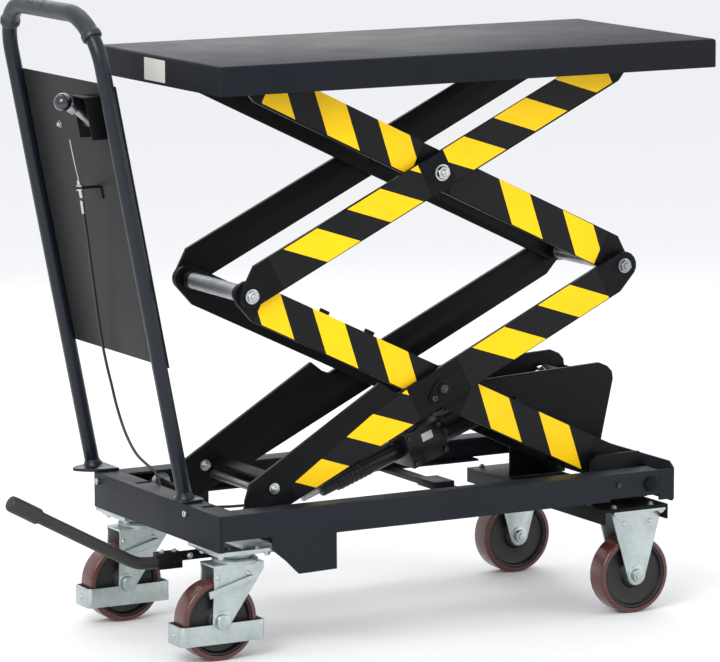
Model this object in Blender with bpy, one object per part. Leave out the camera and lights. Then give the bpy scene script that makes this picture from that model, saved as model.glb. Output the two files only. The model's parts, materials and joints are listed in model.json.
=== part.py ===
"""Mobile double scissor lift table with a foot pump, built as separate steel, rubber and plastic pieces.

Metres, +Z up. The handle and the two swivel casters are at -X, the fixed casters at +X, the pedal at -Y.
"""
import math

import bmesh
import bpy
from mathutils import Matrix, Vector

# ---- driving sizes, measured from the middle of the platform, the floor being z = 0 ----
OFFSET = Vector((0.15292, -0.02025, 0.0))  # moves the middle of the whole table to the world origin
GAP = 0.0003                              # between pieces that touch

REST_ANGLE = math.radians(26.95)          # slope of the arms in the pose shown
ARM_REACH = 0.37621                       # centre pin to end pin
PIVOT_X, PIVOT_Z = 0.3174, 0.2110         # fixed pivot of the lower inner arms
SCISSOR_Y = -0.0190                       # the scissor stands a little nearer to one rail
OUTER_Y = (0.1100, 0.1180)                # faces of the outer arms, from the middle of the scissor
INNER_Y = (0.0970, 0.1050)                # faces of the inner arms
ARM_HALF = 0.0290
PIN_R, PIN_BORE = 0.0090, 0.0093
SMALL_PIN_R, SMALL_BORE = 0.0080, 0.0083
AXLE_R, AXLE_BORE = 0.0060, 0.0064

BASE_X = (-0.4545, 0.3625)
BASE_Y = 0.2180
RAIL_Z = (0.1755, 0.2320)
RAIL_MIDDLE_Z = 0.1885                    # lower edge of a rail between its lug and its right end
SHEET = 0.0035                            # folded steel of the base
FLANGE = 0.0400
ROLLER_R = 0.0170
TOP_ROLLER_R = 0.0170

DECK_X, DECK_Y, DECK_Z, DECK_T = 0.4425, 0.2095, (0.8700, 0.9150), 0.0030

WHEEL_R, WHEEL_HALF, HUB_HALF = 0.0625, 0.0195, 0.0200
SWIVEL_X, SWIVEL_Y, TRAIL = -0.4005, 0.1635, 0.0345
FIXED_X, FIXED_Y = 0.2995, 0.1830
LEG_Y = (0.0206, 0.0236)                  # faces of a fork leg from the wheel's middle

HANDLE_Y = (0.2505, -0.0750)              # far tube, near tube
HANDLE_FOOT_X, HANDLE_FOOT_Z = -0.4405, 0.2360
HANDLE_LEAN = 0.1970                      # backwards lean per metre of height
HANDLE_TOP_Z, HANDLE_BEND, HANDLE_R = 0.9870, 0.0800, 0.0118

RAM_FOOT = (-0.1750, 0.2078)
RAM_DIR = Vector((0.9400, 0.0, 0.3411)).normalized()
RAM_UP = Vector((-RAM_DIR.z, 0.0, RAM_DIR.x))

COLOURS = {
    "paint": (0.045, 0.050, 0.060, 1.0), "black": (0.015, 0.015, 0.018, 1.0), "zinc": (0.62, 0.65, 0.64, 1.0),
    "tread": (0.23, 0.09, 0.07, 1.0), "rubber": (0.03, 0.028, 0.026, 1.0), "panel": (0.10, 0.095, 0.09, 1.0),
    "deck": (0.12, 0.14, 0.16, 1.0), "steel": (0.55, 0.56, 0.57, 1.0),
}


# ---- making solids ----
for old in list(bpy.data.objects):
    bpy.data.objects.remove(old, do_unlink=True)


def mesh_object(name, bm):
    bmesh.ops.recalc_face_normals(bm, faces=bm.faces)
    mesh = bpy.data.meshes.new(name)
    bm.to_mesh(mesh)
    bm.free()
    obj = bpy.data.objects.new(name, mesh)
    bpy.context.collection.objects.link(obj)
    return obj


def prism(points, low, high, axis="y"):
    """A flat outline in the two other axes, given a thickness from low to high along one axis."""
    place = {"y": lambda u, v, t: (u, t, v), "x": lambda u, v, t: (t, u, v), "z": lambda u, v, t: (u, v, t)}[axis]
    bm = bmesh.new()
    ends = [[bm.verts.new(place(u, v, t)) for u, v in points] for t in (low, high)]
    count = len(points)
    for ring in ends:
        bm.faces.new(ring)
    for i in range(count):
        j = (i + 1) % count
        bm.faces.new((ends[0][i], ends[0][j], ends[1][j], ends[1][i]))
    return mesh_object("prism", bm)


def box(x0, x1, y0, y1, z0, z1):
    x0, x1 = sorted((x0, x1))
    y0, y1 = sorted((y0, y1))
    return prism([(x0, z0), (x1, z0), (x1, z1), (x0, z1)], y0, y1)


def turned(profile, centre, axis="y", closed=False, sides=20):
    """Turn (along, radius) points round an axis; a closed profile makes a ring, an open one a solid bar."""
    base = {"y": (Vector((1, 0, 0)), Vector((0, 0, 1)), Vector((0, 1, 0))),
            "z": (Vector((1, 0, 0)), Vector((0, 1, 0)), Vector((0, 0, 1))),
            "ram": (Vector((0, 1, 0)), RAM_UP, RAM_DIR)}[axis]
    bm = bmesh.new()
    rings = []
    for along, radius in profile:
        ring = []
        for i in range(sides):
            a = 2.0 * math.pi * i / sides
            spot = Vector(centre) + base[2] * along + (base[0] * math.cos(a) + base[1] * math.sin(a)) * radius
            ring.append(bm.verts.new(spot))
        rings.append(ring)
    pairs = list(zip(rings, rings[1:]))
    if closed:
        pairs.append((rings[-1], rings[0]))
    else:
        bm.faces.new(rings[0])
        bm.faces.new(rings[-1])
    for a, b in pairs:
        for i in range(sides):
            j = (i + 1) % sides
            bm.faces.new((a[i], a[j], b[j], b[i]))
    return mesh_object("turned", bm)


def bar_y(x, z, radius, y0, y1, sides=16):
    return turned([(min(y0, y1), radius), (max(y0, y1), radius)], (x, 0.0, z), sides=sides)


def swept(path, radii, sides=12, inner=None):
    """A round bar along a path, or a sleeve when an inner radius is given."""
    path = [Vector(p) for p in path]
    if not isinstance(radii, (list, tuple)):
        radii = [radii] * len(path)
    bm = bmesh.new()
    side = None
    outer_rings, inner_rings = [], []
    for i, point in enumerate(path):
        ahead = (path[min(i + 1, len(path) - 1)] - path[max(i - 1, 0)]).normalized()
        if side is None:
            seed = Vector((0, 1, 0)) if abs(ahead.y) < 0.9 else Vector((1, 0, 0))
            side = (seed - ahead * seed.dot(ahead)).normalized()
        side = (side - ahead * side.dot(ahead)).normalized()
        other = ahead.cross(side)
        turn = [2.0 * math.pi * k / sides for k in range(sides)]
        outer_rings.append([bm.verts.new(point + (side * math.cos(t) + other * math.sin(t)) * radii[i])
                            for t in turn])
        if inner:
            inner_rings.append([bm.verts.new(point + (side * math.cos(t) + other * math.sin(t)) * inner)
                                for t in turn])
    for rings in (outer_rings, inner_rings):
        for a, b in zip(rings, rings[1:]):
            for k in range(sides):
                n = (k + 1) % sides
                bm.faces.new((a[k], a[n], b[n], b[k]))
    for end in (0, -1):
        if inner:
            a, b = outer_rings[end], inner_rings[end]
            for k in range(sides):
                n = (k + 1) % sides
                bm.faces.new((a[k], a[n], b[n], b[k]))
        else:
            bm.faces.new(outer_rings[end])
    return mesh_object("swept", bm)


def is_closed(mesh):
    bm = bmesh.new()
    bm.from_mesh(mesh)
    closed = bool(bm.faces) and all(edge.is_manifold for edge in bm.edges)
    bm.free()
    return closed


def combine(target, others, operation):
    """Boolean of one solid with others; the second solver is used where the first leaves an open edge."""
    for solver in ("EXACT", "MANIFOLD"):
        for other in others:
            modifier = target.modifiers.new("combine", "BOOLEAN")
            modifier.operation = operation
            modifier.solver = solver
            modifier.object = other
        graph = bpy.context.evaluated_depsgraph_get()
        result = bpy.data.meshes.new_from_object(target.evaluated_get(graph))
        target.modifiers.clear()
        if is_closed(result):
            break
    target.data = result
    for other in others:
        bpy.data.objects.remove(other, do_unlink=True)
    return target


def join(*solids):
    return combine(solids[0], list(solids[1:]), "UNION")


def cut(target, *tools):
    return combine(target, list(tools), "DIFFERENCE")


def settle(name, solid, colour, origin=(0.0, 0.0, 0.0), round_piece=False):
    """Name a finished solid, put its origin on its joint axis and give it its own material."""
    solid.name = name
    solid.data.name = name
    solid.data.transform(Matrix.Translation(-Vector(origin)))
    solid.location = Vector(origin) + OFFSET
    material = bpy.data.materials.new(name)
    material.use_nodes = True
    shader = material.node_tree.nodes["Principled BSDF"]
    shader.inputs["Base Color"].default_value = COLOURS[colour]
    shader.inputs["Metallic"].default_value = 1.0 if colour in ("zinc", "steel") else 0.0
    shader.inputs["Roughness"].default_value = 0.45
    solid.data.materials.clear()
    solid.data.materials.append(material)
    if round_piece:
        solid.data.shade_smooth()
        solid.data.set_sharp_from_angle(angle=math.radians(35.0))
    return solid


def spread(side, pair, middle=0.0):
    return tuple(sorted((middle + side * pair[0], middle + side * pair[1])))


def across(side, *distances):
    """Distances from the middle of the scissor, to the near or the far side."""
    return tuple(SCISSOR_Y + side * d for d in distances)


# ---- base frame ----
def make_rail(name, side):
    web_y = spread(side, (BASE_Y - SHEET, BASE_Y))
    flange_y = spread(side, (BASE_Y - FLANGE, BASE_Y - SHEET / 2))
    low, top = RAIL_Z
    left, right = BASE_X[0] + SHEET + 0.0005, 0.3340
    notch_z = 0.1925
    outline = [(left, top), (right, top), (right, notch_z), (0.2430, notch_z), (0.2430, RAIL_MIDDLE_Z),
               (-0.2515, RAIL_MIDDLE_Z), (-0.2515, 0.1320), (-0.3174, 0.1304),
               (-0.3400, 0.1530), (-0.3610, 0.1700), (-0.3640, notch_z), (-0.4460, notch_z), (-0.4460, low),
               (left, low)]
    web = prism(outline, *web_y)
    flange_x = BASE_X[0] + FLANGE + 0.0005
    upper = box(flange_x, right, *flange_y, top - SHEET, top)
    lower = box(-0.2515, 0.2430, *spread(side, (0.1968, BASE_Y - SHEET / 2)), RAIL_MIDDLE_Z, RAIL_MIDDLE_Z + SHEET)
    rail = join(web, upper, lower)
    rail = cut(rail, bar_y(PIVOT_X, PIVOT_Z, SMALL_BORE, side * 0.205, side * 0.225))
    settle(name, rail, "paint")


make_rail("rail_near", -1)
make_rail("rail_far", 1)

channel = join(box(BASE_X[0], BASE_X[0] + SHEET, -BASE_Y, BASE_Y, *RAIL_Z),
               box(BASE_X[0] + 0.002, BASE_X[0] + FLANGE, -0.2140, 0.2140, RAIL_Z[1] - SHEET, RAIL_Z[1]),
               box(BASE_X[0] + 0.002, BASE_X[0] + FLANGE, -0.2140, 0.2140, RAIL_Z[0], RAIL_Z[0] + SHEET))
notches = [box(-0.4400, -0.4100, *spread(s, (0.1080, 0.1200), SCISSOR_Y), 0.2200, 0.2400) for s in (-1, 1)]
settle("handle_end_channel", cut(channel, *notches), "paint")

cap_outline = [(-BASE_Y, 0.1830), (-0.2140, 0.1790), (0.2140, 0.1790), (BASE_Y, 0.1830), (BASE_Y, 0.2330),
               (0.2050, 0.2425), (-0.2050, 0.2425), (-BASE_Y, 0.2330)]
end_cap = join(prism(cap_outline, BASE_X[1] - SHEET, BASE_X[1], axis="x"),
               *[box(0.3345, BASE_X[1] - 0.001, *spread(s, (BASE_Y - SHEET, BASE_Y)), 0.1830, RAIL_Z[1])
                 for s in (-1, 1)])
settle("end_cap", end_cap, "paint")

beam = join(box(0.2320, 0.3520, -0.2165, 0.2165, 0.1702, 0.1752),
            box(0.2320, 0.2355, -0.2165, 0.2165, 0.1510, 0.1720),
            box(0.3485, 0.3520, -0.2165, 0.2165, 0.1510, 0.1720))
settle("caster_beam", beam, "paint")

for word, side in (("near", -1), ("far", 1)):
    # roller track and pivot bracket inside the base
    settle("roller_track_" + word, box(-0.4500, -0.1600, *spread(side, (0.1785, 0.1965)), 0.1887, 0.1937), "black")
    plate = prism([(0.2500, 0.1756), (0.3560, 0.1756), (0.3560, 0.2250), (0.3450, 0.2330), (0.3400, 0.2512),
                   (0.2600, 0.2512), (0.2500, 0.2420)], *spread(side, (0.1250, 0.1290), SCISSOR_Y))
    pin = bar_y(PIVOT_X, PIVOT_Z, SMALL_PIN_R, SCISSOR_Y + side * 0.0940, side * 0.2200)
    head = bar_y(PIVOT_X, PIVOT_Z, 0.0125, side * 0.2183, side * 0.2225, sides=6)
    clip = bar_y(PIVOT_X, PIVOT_Z, 0.0110, *across(side, 0.0940, 0.0965))
    settle("pivot_bracket_" + word, join(plate, pin, head, clip), "black", round_piece=True)

    # swivel caster mounting: painted plate, caster plate and upper race
    upper = box(-0.4540, -0.3470, *spread(side, (0.1100, 0.2140)), 0.1700, 0.1752)
    lower = box(SWIVEL_X - 0.0480, SWIVEL_X + 0.0480, *spread(side, (0.1250, 0.2020)), 0.1658, 0.1705)
    race = turned([(0.1583, 0.0290), (0.1670, 0.0310)], (SWIVEL_X, side * SWIVEL_Y, 0.0), axis="z")
    settle("swivel_mount_" + word, join(upper, lower, race), "zinc", round_piece=True)

# ---- casters ----
def leg_outline(top_left, top_right, top_z, axle_x, radius):
    """A fork leg: wide at the top, narrowing to a rounded end round the axle."""
    points = [(top_left, top_z), (top_left + 0.001, top_z - 0.012)]
    for i in range(11):
        a = math.radians(190.0 + 16.0 * i)
        points.append((axle_x + radius * math.cos(a), WHEEL_R + radius * math.sin(a)))
    points += [(top_right - 0.001, top_z - 0.012), (top_right, top_z)]
    return points


def axle_bar(x, y, half):
    return join(bar_y(x, WHEEL_R, AXLE_R, y - half, y + half),
                *[bar_y(x, WHEEL_R, 0.0105, *spread(1, (y + s * 0.0268, y + s * 0.0330)), sides=20) for s in (-1, 1)])


def ring_band(x0, x1, y0, y1, z0, z1, thick, corner):
    def outline(inset):
        points = []
        r = corner - inset
        for cx, cy, start in ((x1 - corner, y1 - corner, 0), (x0 + corner, y1 - corner, 90),
                              (x0 + corner, y0 + corner, 180), (x1 - corner, y0 + corner, 270)):
            for k in range(5):
                a = math.radians(start + 22.5 * k)
                points.append((cx + r * math.cos(a), cy + r * math.sin(a)))
        return points
    return cut(prism(outline(0.0), z0, z1, axis="z"), prism(outline(thick), z0 - 0.01, z1 + 0.01, axis="z"))


def make_wheel(word, x, y):
    tread = [(-WHEEL_HALF, 0.0545), (-WHEEL_HALF, 0.0595), (-0.0180, 0.0616), (-0.0150, WHEEL_R),
             (0.0150, WHEEL_R), (0.0180, 0.0616), (WHEEL_HALF, 0.0595), (WHEEL_HALF, 0.0545)]
    tyre = turned(tread, (x, y, WHEEL_R), closed=True, sides=32)
    settle("tyre_" + word, tyre, "tread", origin=(x, y, WHEEL_R), round_piece=True)
    hub = [(-0.0180, 0.0541), (0.0180, 0.0541), (0.0180, 0.0510), (0.0110, 0.0485), (0.0110, 0.0210),
           (HUB_HALF, 0.0170), (HUB_HALF, AXLE_BORE), (-HUB_HALF, AXLE_BORE), (-HUB_HALF, 0.0170),
           (-0.0110, 0.0210), (-0.0110, 0.0485), (-0.0180, 0.0510)]
    core = turned(hub, (x, y, WHEEL_R), closed=True, sides=24)
    settle("wheel_core_" + word, core, "black", origin=(x, y, WHEEL_R), round_piece=True)


for word, side in (("near", -1), ("far", 1)):
    centre_y = side * SWIVEL_Y
    axle_x = SWIVEL_X - TRAIL
    legs = [prism(leg_outline(-0.4480, -0.3620, 0.1500, axle_x, 0.0165), *spread(1, (centre_y + s * LEG_Y[0],
            centre_y + s * LEG_Y[1]))) for s in (-1, 1)]
    crown = box(-0.4480, -0.3620, centre_y - LEG_Y[1], centre_y + LEG_Y[1], 0.1465, 0.1500)
    race = turned([(0.1480, 0.0340), (0.1540, 0.0340), (0.1579, 0.0270)], (SWIVEL_X, centre_y, 0.0), axis="z")
    fork = join(crown, *legs, race, axle_bar(axle_x, centre_y, 0.0350))
    settle("swivel_fork_" + word, fork, "zinc", origin=(SWIVEL_X, centre_y, 0.1580), round_piece=True)
    band = ring_band(-0.5055, -0.3610, centre_y - 0.0265, centre_y + 0.0265, 0.0285, 0.0596, 0.0025, 0.0080)
    band = cut(band, bar_y(axle_x, WHEEL_R, AXLE_R + 0.0005, centre_y - 0.0300, centre_y + 0.0300))
    settle("toe_guard_" + word, band, "zinc", origin=(SWIVEL_X, centre_y, 0.1580), round_piece=True)
    outer = centre_y - LEG_Y[1] - 0.0004
    strip = prism([(-0.4570, 0.1000), (-0.3820, 0.1195), (-0.3800, 0.1300), (-0.3880, 0.1300), (-0.4590, 0.1110)],
                  outer - 0.0040, outer)
    settle("brake_strip_" + word, strip, "zinc", origin=(-0.3860, outer, 0.1240))
    make_wheel("swivel_" + word, axle_x, centre_y)

    centre_y = side * FIXED_Y
    legs = [prism(leg_outline(0.2545, 0.3445, 0.1697, FIXED_X, 0.0165), *spread(1, (centre_y + s * LEG_Y[0],
            centre_y + s * LEG_Y[1]))) for s in (-1, 1)]
    crown = box(0.2515, 0.3475, centre_y - 0.0330, centre_y + 0.0330, 0.1655, 0.1697)
    settle("fixed_fork_" + word, join(crown, *legs, axle_bar(FIXED_X, centre_y, 0.0350)), "zinc", round_piece=True)
    make_wheel("fixed_" + word, FIXED_X, centre_y)

# ---- scissor arms ----
COS, SIN = math.cos(REST_ANGLE), math.sin(REST_ANGLE)
LEFT_X = PIVOT_X - 2.0 * ARM_REACH * COS
MIDDLE_X = PIVOT_X - ARM_REACH * COS
LOWER_Z = PIVOT_Z + ARM_REACH * SIN
SIDE_Z = PIVOT_Z + 2.0 * ARM_REACH * SIN
UPPER_Z = PIVOT_Z + 3.0 * ARM_REACH * SIN
TOP_Z = PIVOT_Z + 4.0 * ARM_REACH * SIN


def arc(x, radius, start, end, steps=8):
    return [(x + radius * math.cos(math.radians(start + (end - start) * i / steps)),
             radius * math.sin(math.radians(start + (end - start) * i / steps))) for i in range(steps + 1)]


def arm_outline(left, right):
    """Outline along the arm, for one that rises to the right; the pins lie at +-ARM_REACH on the long axis.

    left is gusset, wide or deck; right is pin or deck. The edges run off the pin line by a small slope.
    """
    reach, half = ARM_REACH, ARM_HALF

    def middle(x):
        return 0.0030 - 0.0200 * x
    points = []
    if right == "pin":
        points += [(reach - 0.0250, middle(reach) - half)] + arc(reach, 0.0225, -80, 90)
    else:
        points += [(reach - 0.0314, middle(reach) - half)] + arc(reach, 0.0175, -75, 75)
        points += [(reach - 0.0780, middle(reach) + half)]
    if left == "gusset":
        points += [(-0.0700, middle(-0.07) + half), (-0.0798, 0.0441), (-0.0899, 0.0661), (-0.3579, 0.0459),
                   (-0.3778, 0.0257)]
    else:
        points += [(-reach + 0.0253, middle(-reach) + half)]
    points += arc(-reach, 0.0190, 105, 268)
    points += [(-reach + 0.010, middle(-reach) - half)]
    return points


def on_arm(points, centre, rising):
    """Arm outline to the table's side view; a falling arm is the mirror of a rising one."""
    out = []
    for u, v in points:
        if not rising:
            u = -u
        slope = SIN if rising else -SIN
        out.append((centre[0] + u * COS - v * slope, centre[1] + u * slope + v * COS))
    return out


def at(centre, u, v, rising):
    return on_arm([(u if rising else -u, v)], centre, rising)[0]


LOWER_C, UPPER_C = (MIDDLE_X, LOWER_Z), (MIDDLE_X, UPPER_Z)
for word, side in (("near", -1), ("far", 1)):
    outer_y, inner_y = spread(side, OUTER_Y, SCISSOR_Y), spread(side, INNER_Y, SCISSOR_Y)
    through_outer, through_inner = across(side, 0.1010, 0.1310), across(side, 0.0810, 0.1110)
    reach_in = across(side, 0.1140, 0.0945)        # stud from an outer arm through the inner arm
    head_y = across(side, 0.1175, 0.1240)

    arm = prism(on_arm(arm_outline("gusset", "pin"), LOWER_C, True), *outer_y)
    arm = join(arm, bar_y(*LOWER_C, PIN_R, *reach_in), bar_y(*LOWER_C, 0.0095, *head_y),
               bar_y(LEFT_X, PIVOT_Z, AXLE_R, SCISSOR_Y + side * 0.1160, side * 0.1970))
    arm = cut(arm, bar_y(PIVOT_X, SIDE_Z, PIN_BORE, *through_outer))
    settle("lower_outer_arm_" + word, arm, "paint", origin=(MIDDLE_X, 0.0, LOWER_Z), round_piece=True)

    arm = prism(on_arm(arm_outline("wide", "pin"), LOWER_C, False), *inner_y)
    arm = cut(arm, bar_y(*LOWER_C, PIN_BORE, *through_inner), bar_y(LEFT_X, SIDE_Z, PIN_BORE, *through_inner),
              bar_y(PIVOT_X, PIVOT_Z, SMALL_BORE, *through_inner))
    settle("lower_inner_arm_" + word, arm, "paint", origin=(PIVOT_X, 0.0, PIVOT_Z), round_piece=True)

    arm = prism(on_arm(arm_outline("wide", "deck"), UPPER_C, True), *outer_y)
    arm = join(arm, bar_y(*UPPER_C, PIN_R, *reach_in), bar_y(*UPPER_C, 0.0105, *head_y))
    arm = cut(arm, bar_y(LEFT_X, SIDE_Z, PIN_BORE, *through_outer),
              bar_y(PIVOT_X, TOP_Z, SMALL_BORE, *through_outer))
    settle("upper_outer_arm_" + word, arm, "paint", origin=(LEFT_X, 0.0, SIDE_Z), round_piece=True)

    arm = prism(on_arm(arm_outline("wide", "deck"), UPPER_C, False), *inner_y)
    arm = join(arm, bar_y(LEFT_X, TOP_Z, AXLE_R, *across(side, 0.1010, 0.1275)))
    arm = cut(arm, bar_y(*UPPER_C, PIN_BORE, *through_inner), bar_y(PIVOT_X, SIDE_Z, PIN_BORE, *through_inner))
    settle("upper_inner_arm_" + word, arm, "paint", origin=(MIDDLE_X, 0.0, UPPER_Z), round_piece=True)

    def roller(radius, low, high):
        edge = 0.0012
        return [(low, AXLE_BORE), (low, radius - edge), (low + edge, radius), (high - edge, radius),
                (high, radius - edge), (high, AXLE_BORE)]
    settle("base_roller_" + word, turned(roller(ROLLER_R, *spread(side, (0.1800, 0.1940))), (LEFT_X, 0.0, PIVOT_Z), closed=True),
           "steel", origin=(LEFT_X, 0.0, PIVOT_Z), round_piece=True)
    settle("deck_roller_" + word, turned(roller(TOP_ROLLER_R, *spread(side, (0.1100, 0.1250), SCISSOR_Y)),
           (LEFT_X, 0.0, TOP_Z), closed=True), "steel", origin=(LEFT_X, 0.0, TOP_Z), round_piece=True)

# ---- shafts and cross members of the scissor ----
def cross_shaft():
    half = [(0.1245, 0.0115), (0.1184, 0.0125), (0.1183, PIN_R), (0.0966, PIN_R), (0.0965, 0.0135)]
    return [(SCISSOR_Y - y, r) for y, r in half] + [(SCISSOR_Y + y, r) for y, r in reversed(half)]


settle("left_cross_shaft", turned(cross_shaft(), (LEFT_X, 0.0, SIDE_Z)), "zinc", origin=(LEFT_X, 0.0, SIDE_Z),
       round_piece=True)
settle("right_cross_shaft", turned(cross_shaft(), (PIVOT_X, 0.0, SIDE_Z)), "zinc", origin=(PIVOT_X, 0.0, SIDE_Z),
       round_piece=True)

bar_points = on_arm([(-0.3164, 0.0155), (-0.2984, 0.0155), (-0.2984, 0.0205), (-0.3164, 0.0205)], LOWER_C, True)
settle("lower_cross_bar", prism(bar_points, *spread(1, (GAP - OUTER_Y[0], OUTER_Y[0] - GAP), SCISSOR_Y)), "paint",
       origin=(MIDDLE_X, 0.0, LOWER_Z))


def rocker_point(u, v):
    return (LOWER_C[0] + u * COS + v * SIN, LOWER_C[1] - u * SIN + v * COS)


side_plate = [rocker_point(u, v) for u, v in ((0.0600, 0.0338), (0.0750, 0.0100), (0.3150, 0.0100),
                                              (0.3235, 0.0390), (0.2990, 0.1360), (0.2920, 0.1455),
                                              (0.2800, 0.1500), (0.2637, 0.1490))]
end_panel = [rocker_point(u, v) for u, v in ((0.3185, 0.0390), (0.3235, 0.0390), (0.2990, 0.1360), (0.2940, 0.1360))]
shaft_x, shaft_z = rocker_point(0.2550, 0.1120)
tie_x, tie_z = rocker_point(0.1500, 0.0220)
rocker = join(prism(end_panel, -0.1120, 0.0380), prism(side_plate, -0.1156, -0.1096),
              prism(side_plate, 0.0346, 0.0406), bar_y(shaft_x, shaft_z, 0.0100, -0.1120, 0.0380),
              bar_y(tie_x, tie_z, 0.0100, 0.0380, SCISSOR_Y + INNER_Y[0] - GAP))
settle("rocker_box", rocker, "paint", origin=(PIVOT_X, 0.0, PIVOT_Z), round_piece=True)

# ---- hydraulics ----
foot = Vector((RAM_FOOT[0], 0.0, RAM_FOOT[1]))


def ram_block(s0, s1, v0, v1, y0, y1):
    corners = [foot + RAM_DIR * s + RAM_UP * v for s, v in ((s0, v0), (s1, v0), (s1, v1), (s0, v1))]
    return prism([(c.x, c.z) for c in corners], y0, y1)


pump_cap = foot + RAM_DIR * 0.1780
pump = join(turned([(0.0150, 0.0130), (0.0400, 0.0160), (0.1750, 0.0160)], foot, axis="ram"),
            ram_block(0.1650, 0.2350, -0.0320, 0.0270, -0.0340, 0.0340),
            turned([(-0.0220, 0.0070), (0.0200, 0.0070)], foot, axis="ram"),
            ram_block(0.0900, 0.1500, 0.0100, 0.0210, -0.0100, 0.0100),
            turned([(pump_cap.z + 0.0150, 0.0110), (pump_cap.z + 0.0420, 0.0110)],
                   (pump_cap.x, -0.0150, 0.0), axis="z"))
settle("foot_pump", pump, "black", round_piece=True)

barrel = turned([(0.2353, 0.0270), (0.3850, 0.0270), (0.3850, 0.0125), (0.2420, 0.0125), (0.2420, 0.0020),
                 (0.2353, 0.0020)], foot, axis="ram", closed=True)
settle("ram_cylinder", barrel, "black", round_piece=True)
rod = turned([(0.3120, 0.0120), (0.4444, 0.0120), (0.4445, 0.0165), (0.4523, 0.0165)], foot, axis="ram")
settle("ram_rod", rod, "steel", origin=foot + RAM_DIR * 0.3120, round_piece=True)

bracket = join(box(0.0450, 0.0670, -0.2140, 0.2140, 0.1923, 0.2010), box(0.0300, 0.0670, -0.0280, 0.0280, 0.1960,
               0.2085))
settle("pump_bracket", bracket, "paint")

# ---- pedal ----
PEDAL_PIVOT = (-0.2850, 0.1520)
PEDAL_Y = -0.0850
PEDAL_RISE = Vector((-0.8772, 0.0, 0.4801))     # along the bent end of the pedal bar
PEDAL_BAR_R, PEDAL_SLEEVE_R = 0.0098, 0.0130
lever = box(-0.4780, -0.2800, PEDAL_Y - 0.0050, PEDAL_Y + 0.0050, 0.1420, 0.1560)
socket = box(-0.4960, -0.4560, PEDAL_Y - 0.0120, PEDAL_Y + 0.0120, 0.1325, 0.1575)
tip = Vector((-0.7421, PEDAL_Y, 0.2600))
pedal_path = [(-0.4800, PEDAL_Y, 0.1430), (-0.5080, PEDAL_Y, 0.1430), (-0.5200, PEDAL_Y, 0.1446),
              (-0.5330, PEDAL_Y, 0.1485), tip - PEDAL_RISE * 0.0580, tip - PEDAL_RISE * 0.0560, tip]
pedal = join(bar_y(*PEDAL_PIVOT, 0.0090, -0.2142, 0.2142), lever, socket,
             swept(pedal_path, [PEDAL_BAR_R] * 5 + [PEDAL_SLEEVE_R] * 2, sides=16))
settle("foot_pedal", pedal, "black", origin=(PEDAL_PIVOT[0], 0.0, PEDAL_PIVOT[1]), round_piece=True)

# ---- platform ----
def rounded_deck():
    bm = bmesh.new()
    bmesh.ops.create_cube(bm, size=1.0)
    for v in bm.verts:
        v.co = Vector((v.co.x * 2 * DECK_X, v.co.y * 2 * DECK_Y,
                       DECK_Z[0] + (v.co.z + 0.5) * (DECK_Z[1] - DECK_Z[0])))
    edges = [e for e in bm.edges if not all(v.co.z < DECK_Z[0] + 0.001 for v in e.verts)]
    bmesh.ops.bevel(bm, geom=edges, offset=0.0050, segments=3, profile=0.5, affect="EDGES")
    return mesh_object("deck", bm)


deck = cut(rounded_deck(), box(-DECK_X + DECK_T, DECK_X - DECK_T, -DECK_Y + DECK_T, DECK_Y - DECK_T,
                               DECK_Z[0] - 0.01, DECK_Z[1] - DECK_T))
settle("platform", deck, "deck", origin=(PIVOT_X, 0.0, TOP_Z))
for word, side in (("near", -1), ("far", 1)):
    web = box(-0.4385, 0.3450, *spread(side, (0.1285, 0.1310), SCISSOR_Y), 0.8705, 0.9117)
    flange_top = TOP_Z - TOP_ROLLER_R - GAP
    flange = box(-0.4385, -0.1700, *spread(side, (0.1090, 0.1290), SCISSOR_Y), flange_top - 0.0025, flange_top)
    pin = bar_y(PIVOT_X, TOP_Z, SMALL_PIN_R, *across(side, 0.1075, 0.1300))
    settle("platform_rail_" + word, join(web, flange, pin), "black", origin=(PIVOT_X, 0.0, TOP_Z))

# ---- handle, panel and release ----
def handle_x(z, behind=0.0):
    return HANDLE_FOOT_X - HANDLE_LEAN * (z - HANDLE_FOOT_Z) + behind


def handle_path(start, end):
    """Points up the far tube, over the bow and down the near tube; start and end are heights on the tubes."""
    lean = Vector((-HANDLE_LEAN, 0.0, 1.0)).normalized()
    top = Vector((handle_x(HANDLE_TOP_Z), 0.0, HANDLE_TOP_Z))
    points = [Vector((handle_x(start), HANDLE_Y[0], start))]
    for hand, sign in ((HANDLE_Y[0], -1.0), (HANDLE_Y[1], 1.0)):
        centre = top - lean * HANDLE_BEND + Vector((0.0, hand + sign * HANDLE_BEND, 0.0))
        steps = range(9) if sign < 0 else range(8, -1, -1)
        for i in steps:
            a = math.radians(90.0 * i / 8)
            points.append(centre + Vector((0.0, -sign * math.cos(a), 0.0)) * HANDLE_BEND
                          + lean * math.sin(a) * HANDLE_BEND)
    points.append(Vector((handle_x(end), HANDLE_Y[1], end)))
    return points


FOOT_Z = (0.2323, 0.2373)
leaf = [(-0.4820, 0.2380), (-0.4700, 0.2540), (-0.4440, 0.2630), (-0.4160, 0.2600), (-0.4160, 0.2050),
        (-0.4500, 0.2080), (-0.4720, 0.2220)]
feet = [prism(leaf, *FOOT_Z, axis="z"), box(-0.4540, -0.4160, -0.0980, -0.0520, *FOOT_Z)]
frame_tube = join(swept(handle_path(HANDLE_FOOT_Z, HANDLE_FOOT_Z), HANDLE_R), *feet)
settle("handle_frame", frame_tube, "paint", round_piece=True)
GRIP_Z = 0.9450
grip_path = [p for p in handle_path(HANDLE_FOOT_Z, HANDLE_FOOT_Z) if p.z > GRIP_Z]
settle("handle_grip", swept(grip_path, 0.0140, inner=HANDLE_R + GAP), "rubber", round_piece=True)

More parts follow.
